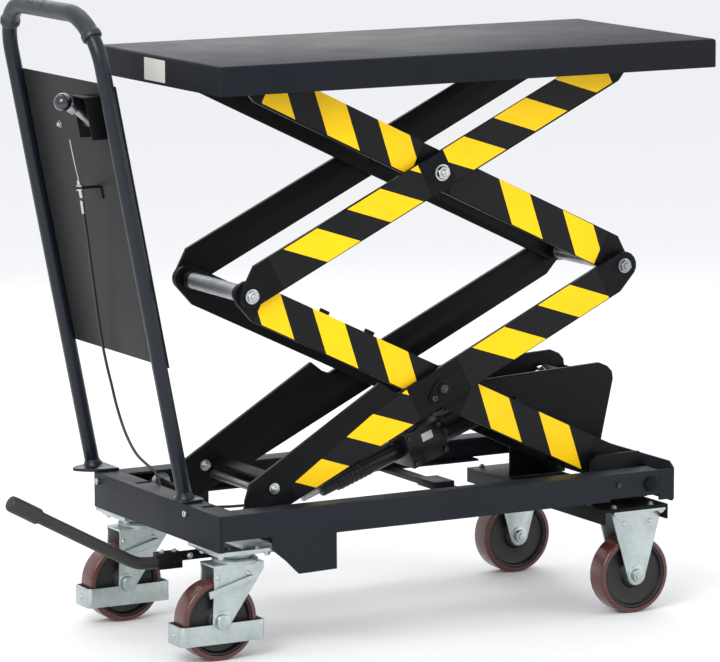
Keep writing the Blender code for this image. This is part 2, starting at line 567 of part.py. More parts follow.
PANEL_Z = (0.4425, 0.8800)
PANEL_Y = (-0.0800, 0.2560)
panel_side = [(handle_x(PANEL_Z[0], 0.0125), PANEL_Z[0]), (handle_x(PANEL_Z[0], 0.0145), PANEL_Z[0]),
              (handle_x(PANEL_Z[1], 0.0145), PANEL_Z[1]), (handle_x(PANEL_Z[1], 0.0125), PANEL_Z[1])]
settle("handle_panel", prism(panel_side, *PANEL_Y), "panel")

PANEL_FACE = 0.0122


def ahead_of_panel(distance, y, z):
    return Vector((handle_x(z, PANEL_FACE - distance), y, z))


def panel_block(d0, d1, y0, y1, z0, z1):
    corners = [ahead_of_panel(d, 0.0, z) for d, z in ((d0, z0), (d1, z0), (d1, z1), (d0, z1))]
    return prism([(c.x, c.z) for c in corners], y0, y1)


lever_box = cut(panel_block(0.0, 0.0330, -0.0350, 0.0100, 0.7950, 0.8610),
                panel_block(0.0020, 0.0400, -0.0330, 0.0080, 0.7930, 0.8590))
settle("lever_bracket", lever_box, "black")
LEVER_PIVOT = ahead_of_panel(0.0180, -0.0125, 0.8190)
knob = ahead_of_panel(0.0600, -0.0125, 0.8535)
blade = swept([LEVER_PIVOT + Vector((0.004, 0, -0.004)), LEVER_PIVOT + Vector((-0.026, 0, 0.020)), knob],
              [0.0060, 0.0060, 0.0045], sides=16)
ball = bmesh.new()
bmesh.ops.create_uvsphere(ball, u_segments=16, v_segments=8, radius=0.0140, matrix=Matrix.Translation(knob))
boss = bar_y(LEVER_PIVOT.x, LEVER_PIVOT.z, 0.0070, -0.0326, 0.0076, sides=24)
settle("release_lever", join(blade, mesh_object("ball", ball), boss), "black", origin=LEVER_PIVOT, round_piece=True)

cable_path = [ahead_of_panel(0.0400, 0.0330, 0.7900), ahead_of_panel(0.0380, 0.0370, 0.7600),
              ahead_of_panel(0.0340, 0.0430, 0.7270), ahead_of_panel(0.0330, 0.0460, 0.7130),
              ahead_of_panel(0.0320, 0.0490, 0.7000), ahead_of_panel(0.0300, 0.0560, 0.6800),
              ahead_of_panel(0.0250, 0.0720, 0.6300), ahead_of_panel(0.0190, 0.0940, 0.5700),
              ahead_of_panel(0.0140, 0.1130, 0.5100), ahead_of_panel(0.0110, 0.1240, 0.4700),
              ahead_of_panel(0.0070, 0.1330, 0.4250), ahead_of_panel(0.0020, 0.1400, 0.3850),
              ahead_of_panel(-0.0010, 0.1420, 0.3450), ahead_of_panel(-0.0010, 0.1280, 0.3050),
              Vector((-0.4320, 0.1060, 0.2740)), Vector((-0.4130, 0.0810, 0.2480)),
              Vector((-0.4060, 0.0680, 0.2200)), Vector((-0.3830, 0.0520, 0.2020)), Vector((-0.3400, 0.0430, 0.1930)),
              Vector((-0.2600, 0.0400, 0.1900)), Vector((-0.1600, 0.0400, 0.1980)), Vector((-0.0700, 0.0400, 0.2200)),
              Vector((-0.0250, 0.0450, 0.2400)), Vector((-0.0120, 0.0370, 0.2470))]


def smooth_path(points, step):
    """Even points on a smooth curve through the given ones."""
    dense = []
    for i in range(len(points) - 1):
        p0 = points[max(i - 1, 0)]
        p1, p2 = points[i], points[i + 1]
        p3 = points[min(i + 2, len(points) - 1)]
        parts = max(1, round((p2 - p1).length / step))
        for k in range(parts):
            t = k / parts
            dense.append(0.5 * (2 * p1 + (p2 - p0) * t + (2 * p0 - 5 * p1 + 4 * p2 - p3) * t * t
                                + (3 * p1 - p0 - 3 * p2 + p3) * t ** 3))
    dense.append(points[-1])
    return dense


cable_points = smooth_path(cable_path, 0.0180)
STOP_Z = 0.7130
cable_radii = [0.0011 if p.z > STOP_Z + 0.0040 else 0.0024 for p in cable_points]
settle("release_cable", swept(cable_points, cable_radii, sides=8), "rubber", round_piece=True)
stop_at = ahead_of_panel(0.0330, 0.0460, STOP_Z)
stop = join(panel_block(0.0, 0.0420, 0.0360, 0.0560, STOP_Z - 0.0010, STOP_Z + 0.0010),
            panel_block(0.0, 0.0022, 0.0360, 0.0560, STOP_Z - 0.0180, STOP_Z + 0.0010))
stop = cut(stop, turned([(STOP_Z - 0.01, 0.0045), (STOP_Z + 0.01, 0.0045)], (stop_at.x, stop_at.y, 0.0), axis="z"))
settle("cable_stop", stop, "black")
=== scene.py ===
# %% [markdown]
# A mobile scissor lift table: a steel base on four casters, two storeys of crossed arms, a platform, a push
# handle with a release lever, and a foot pump. The working model holds every size and joint. This script
# dresses it: it makes the bends, edges, bolts, tyres, tape and paint that the eye sees, and leaves the
# mechanism as it is.

# %% The working model
import json
import math

import bmesh
import bpy
from mathutils import Matrix, Vector

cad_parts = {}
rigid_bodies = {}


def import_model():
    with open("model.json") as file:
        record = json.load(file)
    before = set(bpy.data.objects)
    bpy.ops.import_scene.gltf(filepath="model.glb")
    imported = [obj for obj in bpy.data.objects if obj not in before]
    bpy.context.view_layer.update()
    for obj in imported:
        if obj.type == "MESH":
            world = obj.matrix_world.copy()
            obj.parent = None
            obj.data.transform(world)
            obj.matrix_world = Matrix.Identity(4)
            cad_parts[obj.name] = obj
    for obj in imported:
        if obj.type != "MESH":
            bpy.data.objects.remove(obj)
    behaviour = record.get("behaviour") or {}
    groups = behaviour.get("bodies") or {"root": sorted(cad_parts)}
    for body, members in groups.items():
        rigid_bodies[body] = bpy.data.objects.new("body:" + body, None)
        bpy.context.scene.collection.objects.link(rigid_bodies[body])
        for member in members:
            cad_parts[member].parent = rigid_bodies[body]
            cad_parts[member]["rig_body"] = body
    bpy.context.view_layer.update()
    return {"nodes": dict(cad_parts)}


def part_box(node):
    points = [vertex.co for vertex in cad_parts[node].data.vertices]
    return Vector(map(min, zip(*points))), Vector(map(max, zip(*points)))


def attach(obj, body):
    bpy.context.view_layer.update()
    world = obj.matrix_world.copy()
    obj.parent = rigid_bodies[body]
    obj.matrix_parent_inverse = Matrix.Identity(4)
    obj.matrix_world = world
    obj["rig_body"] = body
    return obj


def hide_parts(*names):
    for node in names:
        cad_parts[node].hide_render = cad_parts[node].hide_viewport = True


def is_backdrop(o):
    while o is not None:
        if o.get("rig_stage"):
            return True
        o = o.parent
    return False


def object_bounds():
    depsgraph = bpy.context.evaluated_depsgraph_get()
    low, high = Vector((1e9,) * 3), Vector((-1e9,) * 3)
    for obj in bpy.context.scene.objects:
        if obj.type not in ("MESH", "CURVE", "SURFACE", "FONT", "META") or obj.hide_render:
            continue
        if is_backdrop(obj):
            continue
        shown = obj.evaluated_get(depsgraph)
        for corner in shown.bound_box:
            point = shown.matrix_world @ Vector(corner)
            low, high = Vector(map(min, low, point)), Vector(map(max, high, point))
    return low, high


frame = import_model()
deck_low, deck_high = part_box("platform")
HOME = Vector(((deck_low.x + deck_high.x) / 2, (deck_low.y + deck_high.y) / 2, 0.0))
SIDES = (("near", -1), ("far", 1))

# %% [markdown]
# Places are measured from the middle of the platform, on the floor: the base and its casters stand either side
# of that line. The scissor has a middle line of its own, a little nearer one rail, so the arms are placed with
# across(). The slope of the arms follows from the cross shafts and the lower rollers of the model.


# %% Places
def at(x, y, z):
    """A place in the table's own measure, as a place in the scene."""
    return Vector((x, y, z)) + HOME


shaft_low, shaft_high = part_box("left_cross_shaft")
roller_low, roller_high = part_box("base_roller_near")
left_shaft = (shaft_low + shaft_high) / 2 - HOME
base_roller = (roller_low + roller_high) / 2 - HOME
right_low, right_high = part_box("right_cross_shaft")
LEFT_X, RIGHT_X = left_shaft.x, ((right_low + right_high) / 2 - HOME).x
LOW_Z, SIDE_Z = base_roller.z, left_shaft.z
STOREY = SIDE_Z - LOW_Z
ARM_REACH = math.hypot(RIGHT_X - LEFT_X, STOREY) / 2
COS, SIN = (RIGHT_X - LEFT_X) / (2 * ARM_REACH), STOREY / (2 * ARM_REACH)
MIDDLE_X = (LEFT_X + RIGHT_X) / 2
CENTRES = {"lower": (MIDDLE_X, LOW_Z + STOREY / 2), "upper": (MIDDLE_X, SIDE_Z + STOREY / 2)}
OUTER_FACE, INNER_FACE = 0.1180, 0.1050
SCISSOR_Y = ((right_low + right_high) / 2 - HOME).y


def across(side, distance):
    """A distance either side of the scissor's middle line; side is -1 near or 1 far."""
    return SCISSOR_Y + side * distance


print("arm slope %.2f degrees, reach %.4f m" % (math.degrees(math.atan2(SIN, COS)), ARM_REACH))

# %% [markdown]
# Shader maths reads best as ordinary arithmetic. Each socket is wrapped in a small class, so that an expression
# such as 1 - mask * 0.4 adds its own Math nodes. Every other node comes from one method, which takes the
# node's type, its settings and the values or links of its sockets.


# %% Nodes as expressions
def link(tree, value, socket):
    if isinstance(value, Wire):
        tree.links.new(value.socket, socket)
    elif value is not None:
        socket.default_value = value


def add_node(tree, kind, settings=None, sockets=None, out=0):
    made = tree.nodes.new(kind)
    for key, value in (settings or {}).items():
        setattr(made, key, value)
    for key, value in (sockets or {}).items():
        link(tree, value, made.inputs[key])
    return Wire(tree, made.outputs[out]) if made.outputs else made


class Wire:
    """A socket that carries a value, with Python's own operators."""

    def __init__(self, tree, socket):
        self.tree, self.socket = tree, socket

    def maths(self, operation, *values):
        return add_node(self.tree, "ShaderNodeMath", {"operation": operation}, dict(enumerate(values)))

    def __add__(self, other):
        return self.maths("ADD", self, other)

    def __sub__(self, other):
        return self.maths("SUBTRACT", self, other)

    def __mul__(self, other):
        return self.maths("MULTIPLY", self, other)

    def __truediv__(self, other):
        return self.maths("DIVIDE", self, other)

    def __gt__(self, other):
        return self.maths("GREATER_THAN", self, other)

    def __lt__(self, other):
        return self.maths("LESS_THAN", self, other)

    def __radd__(self, other):
        return self.maths("ADD", other, self)

    def __rsub__(self, other):
        return self.maths("SUBTRACT", other, self)

    def __rmul__(self, other):
        return self.maths("MULTIPLY", other, self)

    def fraction(self):
        return self.maths("FRACT", self)

    def smooth(self, low, high):
        return add_node(self.tree, "ShaderNodeMapRange", {"interpolation_type": "SMOOTHSTEP"},
                        {"Value": self, "From Min": low, "From Max": high})


class Finish:
    """One material: a Principled shader and what feeds it."""

    def __init__(self, name):
        self.material = bpy.data.materials.new(name)
        self.material.use_nodes = True
        self.tree = self.material.node_tree
        self.tree.nodes.clear()
        self.place = self.node("ShaderNodeTexCoord", out="Object")

    def node(self, kind, settings=None, sockets=None, out=0):
        return add_node(self.tree, kind, settings, sockets, out)

    def noise(self, scale, detail=3.0, rough=0.55, stretch=None):
        where = self.place
        if stretch:
            where = self.node("ShaderNodeMapping", None, {"Vector": where, "Scale": stretch})
        return self.node("ShaderNodeTexNoise", None,
                         {"Vector": where, "Scale": scale, "Detail": detail, "Roughness": rough})

    def mix(self, amount, first, second):
        return self.node("ShaderNodeMix", {"data_type": "RGBA"}, {0: amount, 6: first, 7: second}, out=2)

    def bump(self, height, depth, strength):
        return self.node("ShaderNodeBump", None, {"Height": height, "Distance": depth, "Strength": strength})

    def close(self, **sockets):
        names = {key.replace("_", " "): value for key, value in sockets.items()}
        shader = self.node("ShaderNodeBsdfPrincipled", None, names)
        self.node("ShaderNodeOutputMaterial", None, {"Surface": shader})
        return self.material


def shade(value):
    return (*value, 1.0)


print("node helpers ready")

# %% [markdown]
# The base, tubes and platform are powder coated. Baked powder flows into a faint orange peel, which is a bump
# of about a millimetre. Handling leaves it unevenly dull, and dust dries in pale drifts, so the roughness and
# the colour each follow their own slow noise.


# %% Powder coat
def powder_coat(name, colour, roughness, dust=0.10, peel=0.00006, coat=0.05, gloss=0.30):
    finish = Finish(name)
    drift = finish.noise(7.0, 4.0).smooth(0.35, 0.75)
    rub = finish.noise(38.0, 5.0, 0.7).smooth(0.50, 0.78)
    scratch = finish.noise(60.0, 2.0, 0.5, stretch=(0.15, 1.0, 6.0)).smooth(0.70, 0.74)
    pale = tuple(min(1.0, c * 1.25 + 0.012) for c in colour)
    tint = finish.mix(drift * dust + rub * dust * 0.6, shade(colour), shade(pale))
    grain = finish.noise(900.0, 1.0)
    return finish.close(Base_Color=tint, Roughness=roughness + drift * 0.07 + rub * 0.06 - scratch * 0.05,
                        Normal=finish.bump(grain, peel, 0.35), Coat_Weight=coat, Coat_Roughness=0.25,
                        Specular_IOR_Level=gloss)


FRAME_PAINT = powder_coat("frame_powder_coat", (0.0130, 0.0155, 0.0200), 0.44, gloss=0.10, coat=0.0)
TUBE_PAINT = powder_coat("tube_powder_coat", (0.0060, 0.0090, 0.0145), 0.30, gloss=0.28)
ARM_PAINT = powder_coat("arm_black_paint", (0.0040, 0.0044, 0.0052), 0.40, dust=0.07, gloss=0.10, coat=0.0)
DECK_PAINT = powder_coat("deck_powder_coat", (0.0105, 0.0120, 0.0160), 0.44, dust=0.12, gloss=0.06, coat=0.0)
PANEL_PAINT = powder_coat("panel_matt_paint", (0.021, 0.0215, 0.0220), 0.46, dust=0.10, gloss=0.15, coat=0.0)
PUMP_PAINT = powder_coat("pump_black_paint", (0.0050, 0.0054, 0.0062), 0.28, dust=0.12, gloss=0.25)
print("paints:", [m.name for m in (FRAME_PAINT, TUBE_PAINT, ARM_PAINT, DECK_PAINT, PANEL_PAINT, PUMP_PAINT)])

# %% [markdown]
# Caster forks are pressed steel with a clear-passivated zinc plate. The plating is bright but mottled, with a
# greenish cast, fine drawing lines from the press, and duller clouds where it has weathered.


# %% Plated and bare metals
def plated(name, colour, roughness, mottle=0.3, lines=0.00002):
    finish = Finish(name)
    cloud = finish.noise(24.0, 5.0, 0.65).smooth(0.35, 0.70)
    fleck = finish.noise(150.0, 3.0, 0.6).smooth(0.45, 0.75)
    dull = tuple(c * 0.62 for c in colour)
    tint = finish.mix(cloud * mottle + fleck * mottle * 0.4, shade(colour), shade(dull))
    drawn = finish.noise(420.0, 2.0, 0.5, stretch=(1.0, 1.0, 0.08))
    return finish.close(Base_Color=tint, Metallic=1.0, Roughness=roughness + cloud * 0.16 + fleck * 0.06,
                        Normal=finish.bump(drawn, lines, 0.5))


ZINC = plated("zinc_plate", (0.500, 0.560, 0.555), 0.32, mottle=0.45)
BRIGHT = plated("bright_fasteners", (0.52, 0.54, 0.54), 0.26, mottle=0.25)
SHAFT_STEEL = plated("shaft_steel", (0.34, 0.35, 0.36), 0.34, mottle=0.4)
DARK_STEEL = plated("blackened_steel", (0.075, 0.075, 0.08), 0.38, mottle=0.4)
CHROME = plated("hard_chrome", (0.86, 0.86, 0.88), 0.08, mottle=0.06, lines=0.0)
print("metals:", [m.name for m in (ZINC, BRIGHT, SHAFT_STEEL, DARK_STEEL, CHROME)])

# %% [markdown]
# The treads are cast polyurethane: a glossy reddish brown where it is new, scuffed to a greyer and rougher
# brown in patches. The wheels turn and swivel, so the scuffs follow a plain noise and favour no direction. The
# other rubbers and plastics are the same finish in other colours.


# %% Rubber and plastics
def moulded(name, colour, worn, roughness, scuff=0.5, coat=0.0, fine=0.00005, scale=70.0):
    finish = Finish(name)
    patch = finish.noise(scale, 5.0, 0.65).smooth(0.45, 0.72)
    speck = finish.noise(scale * 6.0, 2.0)
    tint = finish.mix(patch * scuff, shade(colour), shade(worn))
    return finish.close(Base_Color=tint, Roughness=roughness + patch * 0.22, Coat_Weight=coat,
                        Coat_Roughness=0.12, Normal=finish.bump(speck, fine, 0.5))


TREAD = moulded("tread_polyurethane", (0.078, 0.017, 0.013), (0.040, 0.017, 0.014), 0.26, coat=0.25)
CORE = moulded("wheel_core_black", (0.0040, 0.0038, 0.0042), (0.011, 0.010, 0.0095), 0.42, scuff=0.5)
GRIP = moulded("grip_moulded", (0.008, 0.0115, 0.016), (0.016, 0.020, 0.025), 0.42, scuff=0.4, coat=0.05)
PEDAL_RUBBER = moulded("pedal_rubber", (0.0100, 0.0092, 0.0084), (0.026, 0.023, 0.021), 0.50, scuff=0.5)
KNOB = moulded("knob_gloss", (0.005, 0.006, 0.010), (0.008, 0.009, 0.012), 0.07, scuff=0.3, coat=0.6, fine=0.0)
SHEATH = moulded("cable_sheath", (0.008, 0.008, 0.008), (0.02, 0.02, 0.02), 0.34, scuff=0.3)
LABEL = moulded("plain_label", (0.62, 0.61, 0.56), (0.50, 0.49, 0.44), 0.42, scuff=0.4, scale=35.0)
print("moulded finishes made")

# %% [markdown]
# The hazard tape runs along the near face of each near arm. Its stripes stand at 45 degrees to the arm, so one
# sum, the distance along the arm plus the distance across it, counts them. Each half of an arm was taped on its
# own and starts its count in a different place. A small noise wobbles the printed edges, and rubs them thin.

# %% Hazard tape finish
STRIPE, WOBBLE = 0.0640, 0.0010      # length of one colour along the arm, and how far a printed edge strays


def hazard_tape(name, centre, rising, left_start, right_start, pitch):
    finish = Finish(name)
    split = finish.node("ShaderNodeSeparateXYZ", None, {"Vector": finish.place})
    x = split - (centre[0] + HOME.x)
    z = Wire(finish.tree, split.socket.node.outputs["Z"]) - centre[1]
    turn = 1.0 if rising else -1.0
    along = x * COS + z * (SIN * turn)
    count = along + z * COS - x * (SIN * turn)
    wobble = (finish.noise(260.0, 2.0) - 0.5) * WOBBLE
    left = (((count - left_start + wobble) / pitch[0]).fraction() < STRIPE / pitch[0]) * (count > left_start)
    right = (((count - right_start + wobble) / pitch[1]).fraction() < STRIPE / pitch[1]) * (count > right_start)
    yellow = left * (along < 0.0) + right * (along > 0.0)
    wear = finish.noise(120.0, 6.0, 0.72).smooth(0.60, 0.80)
    soil = finish.noise(11.0, 4.0).smooth(0.35, 0.8)
    lemon = finish.mix(soil * 0.45, shade((0.93, 0.585, 0.004)), shade((0.74, 0.44, 0.006)))
    colour = finish.mix(yellow, shade((0.0045, 0.0047, 0.0055)), lemon)
    crease = finish.noise(45.0, 2.0, 0.5)
    return finish.close(Base_Color=finish.mix(wear * 0.25, colour, shade((0.05, 0.045, 0.035))),
                        Roughness=0.34 + soil * 0.12 + wear * 0.12, Normal=finish.bump(crease, 0.0004, 0.25),
                        Specular_IOR_Level=0.18)


print("tape stripe %.0f mm" % (STRIPE * 1000))

# %% [markdown]
# Shapes are kept as plain points and faces until they are finished, so that several simple solids can be put
# together into one piece. Three makers cover nearly everything: a flat outline given a thickness, a profile
# turned round an axis, and a ring swept along a path.


# %% Shape makers
class Shape:
    def __init__(self, points=(), faces=()):
        self.points, self.faces = list(points), list(faces)

    def __add__(self, other):
        start = len(self.points)
        return Shape(self.points + other.points, self.faces + [[i + start for i in f] for f in other.faces])


def plate(outline, low, high, axis="y"):
    """A flat outline in the other two axes, given a thickness from low to high."""
    place = {"y": lambda u, v, t: at(u, t, v), "x": lambda u, v, t: at(t, u, v), "z": lambda u, v, t: at(u, v, t)}
    count = len(outline)
    points = [place[axis](u, v, t) for t in (low, high) for u, v in outline]
    sides = [[i, (i + 1) % count, count + (i + 1) % count, count + i] for i in range(count)]
    return Shape(points, [list(range(count)), list(range(count, 2 * count))] + sides)


def block(x0, x1, y0, y1, z0, z1):
    return plate([(x0, z0), (x1, z0), (x1, z1), (x0, z1)], y0, y1)


def turned(profile, foot, along, sides=48, closed=False):
    """Turn (distance, radius) points round the line that leaves foot in the direction along."""
    along = Vector(along).normalized()
    side = along.orthogonal().normalized()
    other = along.cross(side)
    points, faces, rings = [], [], []
    for distance, radius in profile:
        if radius < 1e-6:
            rings.append([len(points)])
            points.append(foot + along * distance)
            continue
        rings.append(list(range(len(points), len(points) + sides)))
        for k in range(sides):
            a = 2 * math.pi * k / sides
            points.append(foot + along * distance + (side * math.cos(a) + other * math.sin(a)) * radius)
    for a, b in list(zip(rings, rings[1:])) + ([(rings[-1], rings[0])] if closed else []):
        for k in range(sides):
            n = (k + 1) % sides
            if len(a) == 1:
                faces.append([a[0], b[n], b[k]])
            elif len(b) == 1:
                faces.append([a[k], a[n], b[0]])
            else:
                faces.append([a[k], a[n], b[n], b[k]])
    if not closed:
        faces += [ring for ring in (rings[0], rings[-1]) if len(ring) > 1]
    return Shape(points, faces)


def swept(path, radius, sides=24, inner=None):
    """A round bar along a path; radius is a number or one for each point. inner makes it a sleeve."""
    path = [Vector(p) for p in path]
    radii = radius if isinstance(radius, (list, tuple)) else [radius] * len(path)
    last, side, outside, inside, points, faces = len(path) - 1, None, [], [], [], []
    for i, spot in enumerate(path):
        ahead = (path[min(i + 1, last)] - path[max(i - 1, 0)]).normalized()
        side = ahead.orthogonal() if side is None else side
        side = (side - ahead * side.dot(ahead)).normalized()
        other = ahead.cross(side)
        for rings, size in ((outside, radii[i]), (inside, inner)):
            if size:
                rings.append(list(range(len(points), len(points) + sides)))
                points += [spot + (side * math.cos(2 * math.pi * k / sides)
                                   + other * math.sin(2 * math.pi * k / sides)) * size for k in range(sides)]
    pairs = list(zip(outside, outside[1:])) + list(zip(inside, inside[1:]))
    pairs += [(outside[0], inside[0]), (outside[-1], inside[-1])] if inner else []
    for a, b in pairs:
        faces += [[a[k], a[(k + 1) % sides], b[(k + 1) % sides], b[k]] for k in range(sides)]
    return Shape(points, faces if inner else faces + [outside[0], outside[-1]])


def smooth_path(points, step):
    """Even points on a smooth curve through the given ones."""
    dense = []
    for i in range(len(points) - 1):
        p0, p1, p2, p3 = points[max(i - 1, 0)], points[i], points[i + 1], points[min(i + 2, len(points) - 1)]
        parts = max(1, round((p2 - p1).length / step))
        for k in range(parts):
            t = k / parts
            dense.append(0.5 * (2 * p1 + (p2 - p0) * t + (2 * p0 - 5 * p1 + 4 * p2 - p3) * t * t
                                + (3 * p1 - p0 - 3 * p2 + p3) * t ** 3))
    return dense + [points[-1]]


def arc(cx, cy, radius, start, end, steps=10):
    angles = [math.radians(start + (end - start) * i / steps) for i in range(steps + 1)]
    return [(cx + radius * math.cos(a), cy + radius * math.sin(a)) for a in angles]


def rounded(x0, x1, y0, y1, radius, steps=5):
    left, right, low, high = x0 + radius, x1 - radius, y0 + radius, y1 - radius
    corners = ((right, high), (left, high), (left, low), (right, low))
    return [p for k, (x, y) in enumerate(corners) for p in arc(x, y, radius, 90 * k, 90 * k + 90, steps)]


print("shape makers ready")

# %% [markdown]
# A real edge is never perfectly sharp: a sheared plate has a small radius that catches the light. Finishing a
# piece bevels its sharp edges with the Bevel modifier, makes the result plain, and shades it smooth with only
# the true corners kept hard.

# %% Finishing a piece
made = []
SHARP_FROM, HARD_FROM = 30.0, 35.0   # degrees between two faces: bevelled from the first, shaded hard from the second


def new_object(name, points, faces=()):
    mesh = bpy.data.meshes.new(name)
    mesh.from_pydata([tuple(p) for p in points], [], faces)
    obj = bpy.data.objects.new(name, mesh)
    bpy.context.scene.collection.objects.link(obj)
    return obj


def solid(name, shape, edge, steps=2, merge=True):
    """An object from a shape, its faces turned outwards and its sharp edges softened."""
    obj = new_object(name, shape.points, shape.faces)
    bm = bmesh.new()
    bm.from_mesh(obj.data)
    if merge:
        bmesh.ops.remove_doubles(bm, verts=bm.verts, dist=1e-6)
    bmesh.ops.recalc_face_normals(bm, faces=bm.faces)
    bm.to_mesh(obj.data)
    bm.free()
    if edge:
        bevel = obj.modifiers.new("edge", "BEVEL")
        bevel.width, bevel.segments, bevel.limit_method = edge, steps, "ANGLE"
        bevel.angle_limit = math.radians(SHARP_FROM)
        plain(obj)
    obj.data.shade_smooth()
    obj.data.set_sharp_from_angle(angle=math.radians(HARD_FROM))
    return obj


def plain(obj):
    """Replace an object's mesh with what its modifiers make of it."""
    graph = bpy.context.evaluated_depsgraph_get()
    mesh = bpy.data.meshes.new_from_object(obj.evaluated_get(graph))
    obj.modifiers.clear()
    obj.data = mesh
    return obj


def piece(name, shape, finish, body, stands_for=(), edge=0.0006, steps=2):
    """A finished piece that rides on a body of the model, and stands for the nodes it replaces."""
    obj = solid(name, shape, edge, steps)
    obj.data.materials.clear()
    obj.data.materials.append(finish)
    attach(obj, body)
    if stands_for:
        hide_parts(*stands_for)
    made.append(name)
    return obj


def dressed(node, finish, edge=0.0006, steps=2):
    """A CAD node's own shape, with its flat faces made whole again and its edges softened."""
    source = frame["nodes"][node]
    bm = bmesh.new()
    bm.from_mesh(source.data)
    bmesh.ops.remove_doubles(bm, verts=bm.verts, dist=2e-6)
    bmesh.ops.dissolve_limit(bm, angle_limit=math.radians(1.0), verts=bm.verts, edges=bm.edges)
    bm.verts.index_update()
    shape = Shape([v.co.copy() for v in bm.verts], [[v.index for v in f.verts] for f in bm.faces])
    bm.free()
    return piece(node + "_skin", shape, finish, source["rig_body"], (node,), edge, steps)


print("finishing ready")

# %% [markdown]
# Bolts repeat all over the table. One small Geometry Nodes tree sets a fastener on each given spot and turns it to
# the direction stored there. The fasteners themselves are modelled once: a chamfered hex head on its washer,
# and a domed rivet.


# %% Fasteners on spots
def hardware_tree():
    tree = bpy.data.node_groups.new("place_fasteners", "GeometryNodeTree")
    for label, kind in (("Spots", "Geometry"), ("Fastener", "Object"), ("Size", "Float"), ("Finish", "Material")):
        tree.interface.new_socket(label, in_out="INPUT", socket_type="NodeSocket" + kind)
    tree.interface.new_socket("Fasteners", in_out="OUTPUT", socket_type="NodeSocketGeometry")
    entry = tree.nodes.new("NodeGroupInput")
    given = {socket.name: Wire(tree, socket) for socket in entry.outputs if socket.name}
    facing = add_node(tree, "GeometryNodeInputNamedAttribute", {"data_type": "FLOAT_VECTOR"}, {"Name": "facing"})
    turn = add_node(tree, "FunctionNodeAlignRotationToVector", {"axis": "Z"}, {"Vector": facing})
    shape = add_node(tree, "GeometryNodeObjectInfo", None, {"Object": given["Fastener"]}, out="Geometry")
    placed = add_node(tree, "GeometryNodeInstanceOnPoints", None,
                      {"Points": given["Spots"], "Instance": shape, "Rotation": turn, "Scale": given["Size"]})
    whole = add_node(tree, "GeometryNodeRealizeInstances", None, {"Geometry": placed})
    painted = add_node(tree, "GeometryNodeSetMaterial", None, {"Geometry": whole, "Material": given["Finish"]})
    leave = tree.nodes.new("NodeGroupOutput")
    tree.links.new(painted.socket, leave.inputs[0])
    return tree


def prototype(name, shape, edge):
    """A fastener at the world's origin, its axis up and its seat at z = 0."""
    return solid(name, shape, edge, merge=False)


PLACE = hardware_tree()
ORIGIN, UP = Vector((0, 0, 0)), Vector((0, 0, 1))
HEX = prototype("hex_bolt", turned([(0.0, 1.12), (0.13, 1.12)], ORIGIN, UP, 28)
                + turned([(0.13, 0.95), (0.62, 0.95), (0.72, 0.80)], ORIGIN, UP, 6)
                + turned([(0.70, 0.52), (0.95, 0.50), (1.02, 0.42)], ORIGIN, UP, 20), 0.035)
RIVET = prototype("rivet", turned([(0.0, 1.0), (0.22, 0.94), (0.42, 0.74), (0.54, 0.40), (0.58, 0.0)],
                                  ORIGIN, UP, 24), 0.02)
SCREW = prototype("cap_screw", turned([(0.0, 1.0), (0.9, 1.0), (1.0, 0.9), (1.0, 0.55), (0.55, 0.52), (0.55, 0.0)],
                                      ORIGIN, UP, 24), 0.03)


def fasteners(name, kind, spots, size, finish, body):
    """Spots are (place, facing) pairs; size is the radius across the head."""
    obj = new_object(name, [place for place, _ in spots])
    facing = obj.data.attributes.new("facing", "FLOAT_VECTOR", "POINT")
    facing.data.foreach_set("vector", [c for _, way in spots for c in way])
    modifier = obj.modifiers.new("fasteners", "NODES")
    modifier.node_group = PLACE
    sockets = {s.name: s.identifier for s in PLACE.interface.items_tree if s.in_out == "INPUT"}
    modifier[sockets["Fastener"]] = kind
    modifier[sockets["Size"]] = size
    modifier[sockets["Finish"]] = finish
    plain(obj)
    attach(obj, body)
    made.append(name)
    return obj


print("fastener prototypes:", HEX.name, RIVET.name, SCREW.name)

# %% [markdown]
# The base is folded from sheet: two C-section rails, a deep channel under the handle, a plate across the far
# end and a channel over the fixed casters. The working model has their true shapes, so each is kept, and only
# its edges are softened.

# %% Base frame
for node in ("rail_near", "rail_far", "handle_end_channel", "end_cap"):
    dressed(node, FRAME_PAINT, 0.0009, 3)
for node in ("caster_beam", "pump_bracket", "roller_track_near", "roller_track_far"):
    dressed(node, ARM_PAINT, 0.0007)
for word, side in SIDES:
    dressed("pivot_bracket_" + word, ARM_PAINT, 0.0005)
print("base pieces:", len(made))

# %% [markdown]
# The rails are held by bolts that stand in the long slots of their lower edge, and the end channel by two bright
# cap screws. The screws in the rails' sides and in the end cap are blackened.

# %% Base screws
DOWN, TOWARDS, AWAY, LEFT = Vector((0, 0, -1)), Vector((0, -1, 0)), Vector((0, 1, 0)), Vector((-1, 0, 0))
RAIL_Y, SLOT_Y = 0.2180, 0.2080      # the rails' outer faces, and the line of slots in their lower edges
fasteners("rail_slot_bolts", HEX,
          [(at(x, s * SLOT_Y, 0.1753), UP) for _, s in SIDES for x in (-0.4340, -0.3860, 0.2560, 0.3240)],
          0.0050, SHAFT_STEEL, "base")
fasteners("end_channel_screws", SCREW,
          [(at(-0.4545, y, 0.2190), LEFT) for y in (-0.1080, 0.2010)], 0.0052, BRIGHT, "base")
fasteners("rail_side_screws", SCREW, [(at(0.2580, s * RAIL_Y, 0.2140), Vector((0, s, 0))) for _, s in SIDES],
          0.0040, DARK_STEEL, "base")
fasteners("end_cap_screws", SCREW, [(at(0.3625, y, 0.2100), Vector((1, 0, 0))) for y in (-0.1500, 0.1500)],
          0.0050, DARK_STEEL, "base")
print("base screws set")

# %% [markdown]
# A caster wheel is a polyurethane tread cast on to a black core. The tread's shoulders are rounded. The core has a
# thick rim, a smooth dished web, and a hub that carries the bearing.


# %% Wheels
WHEEL_R = 0.0625


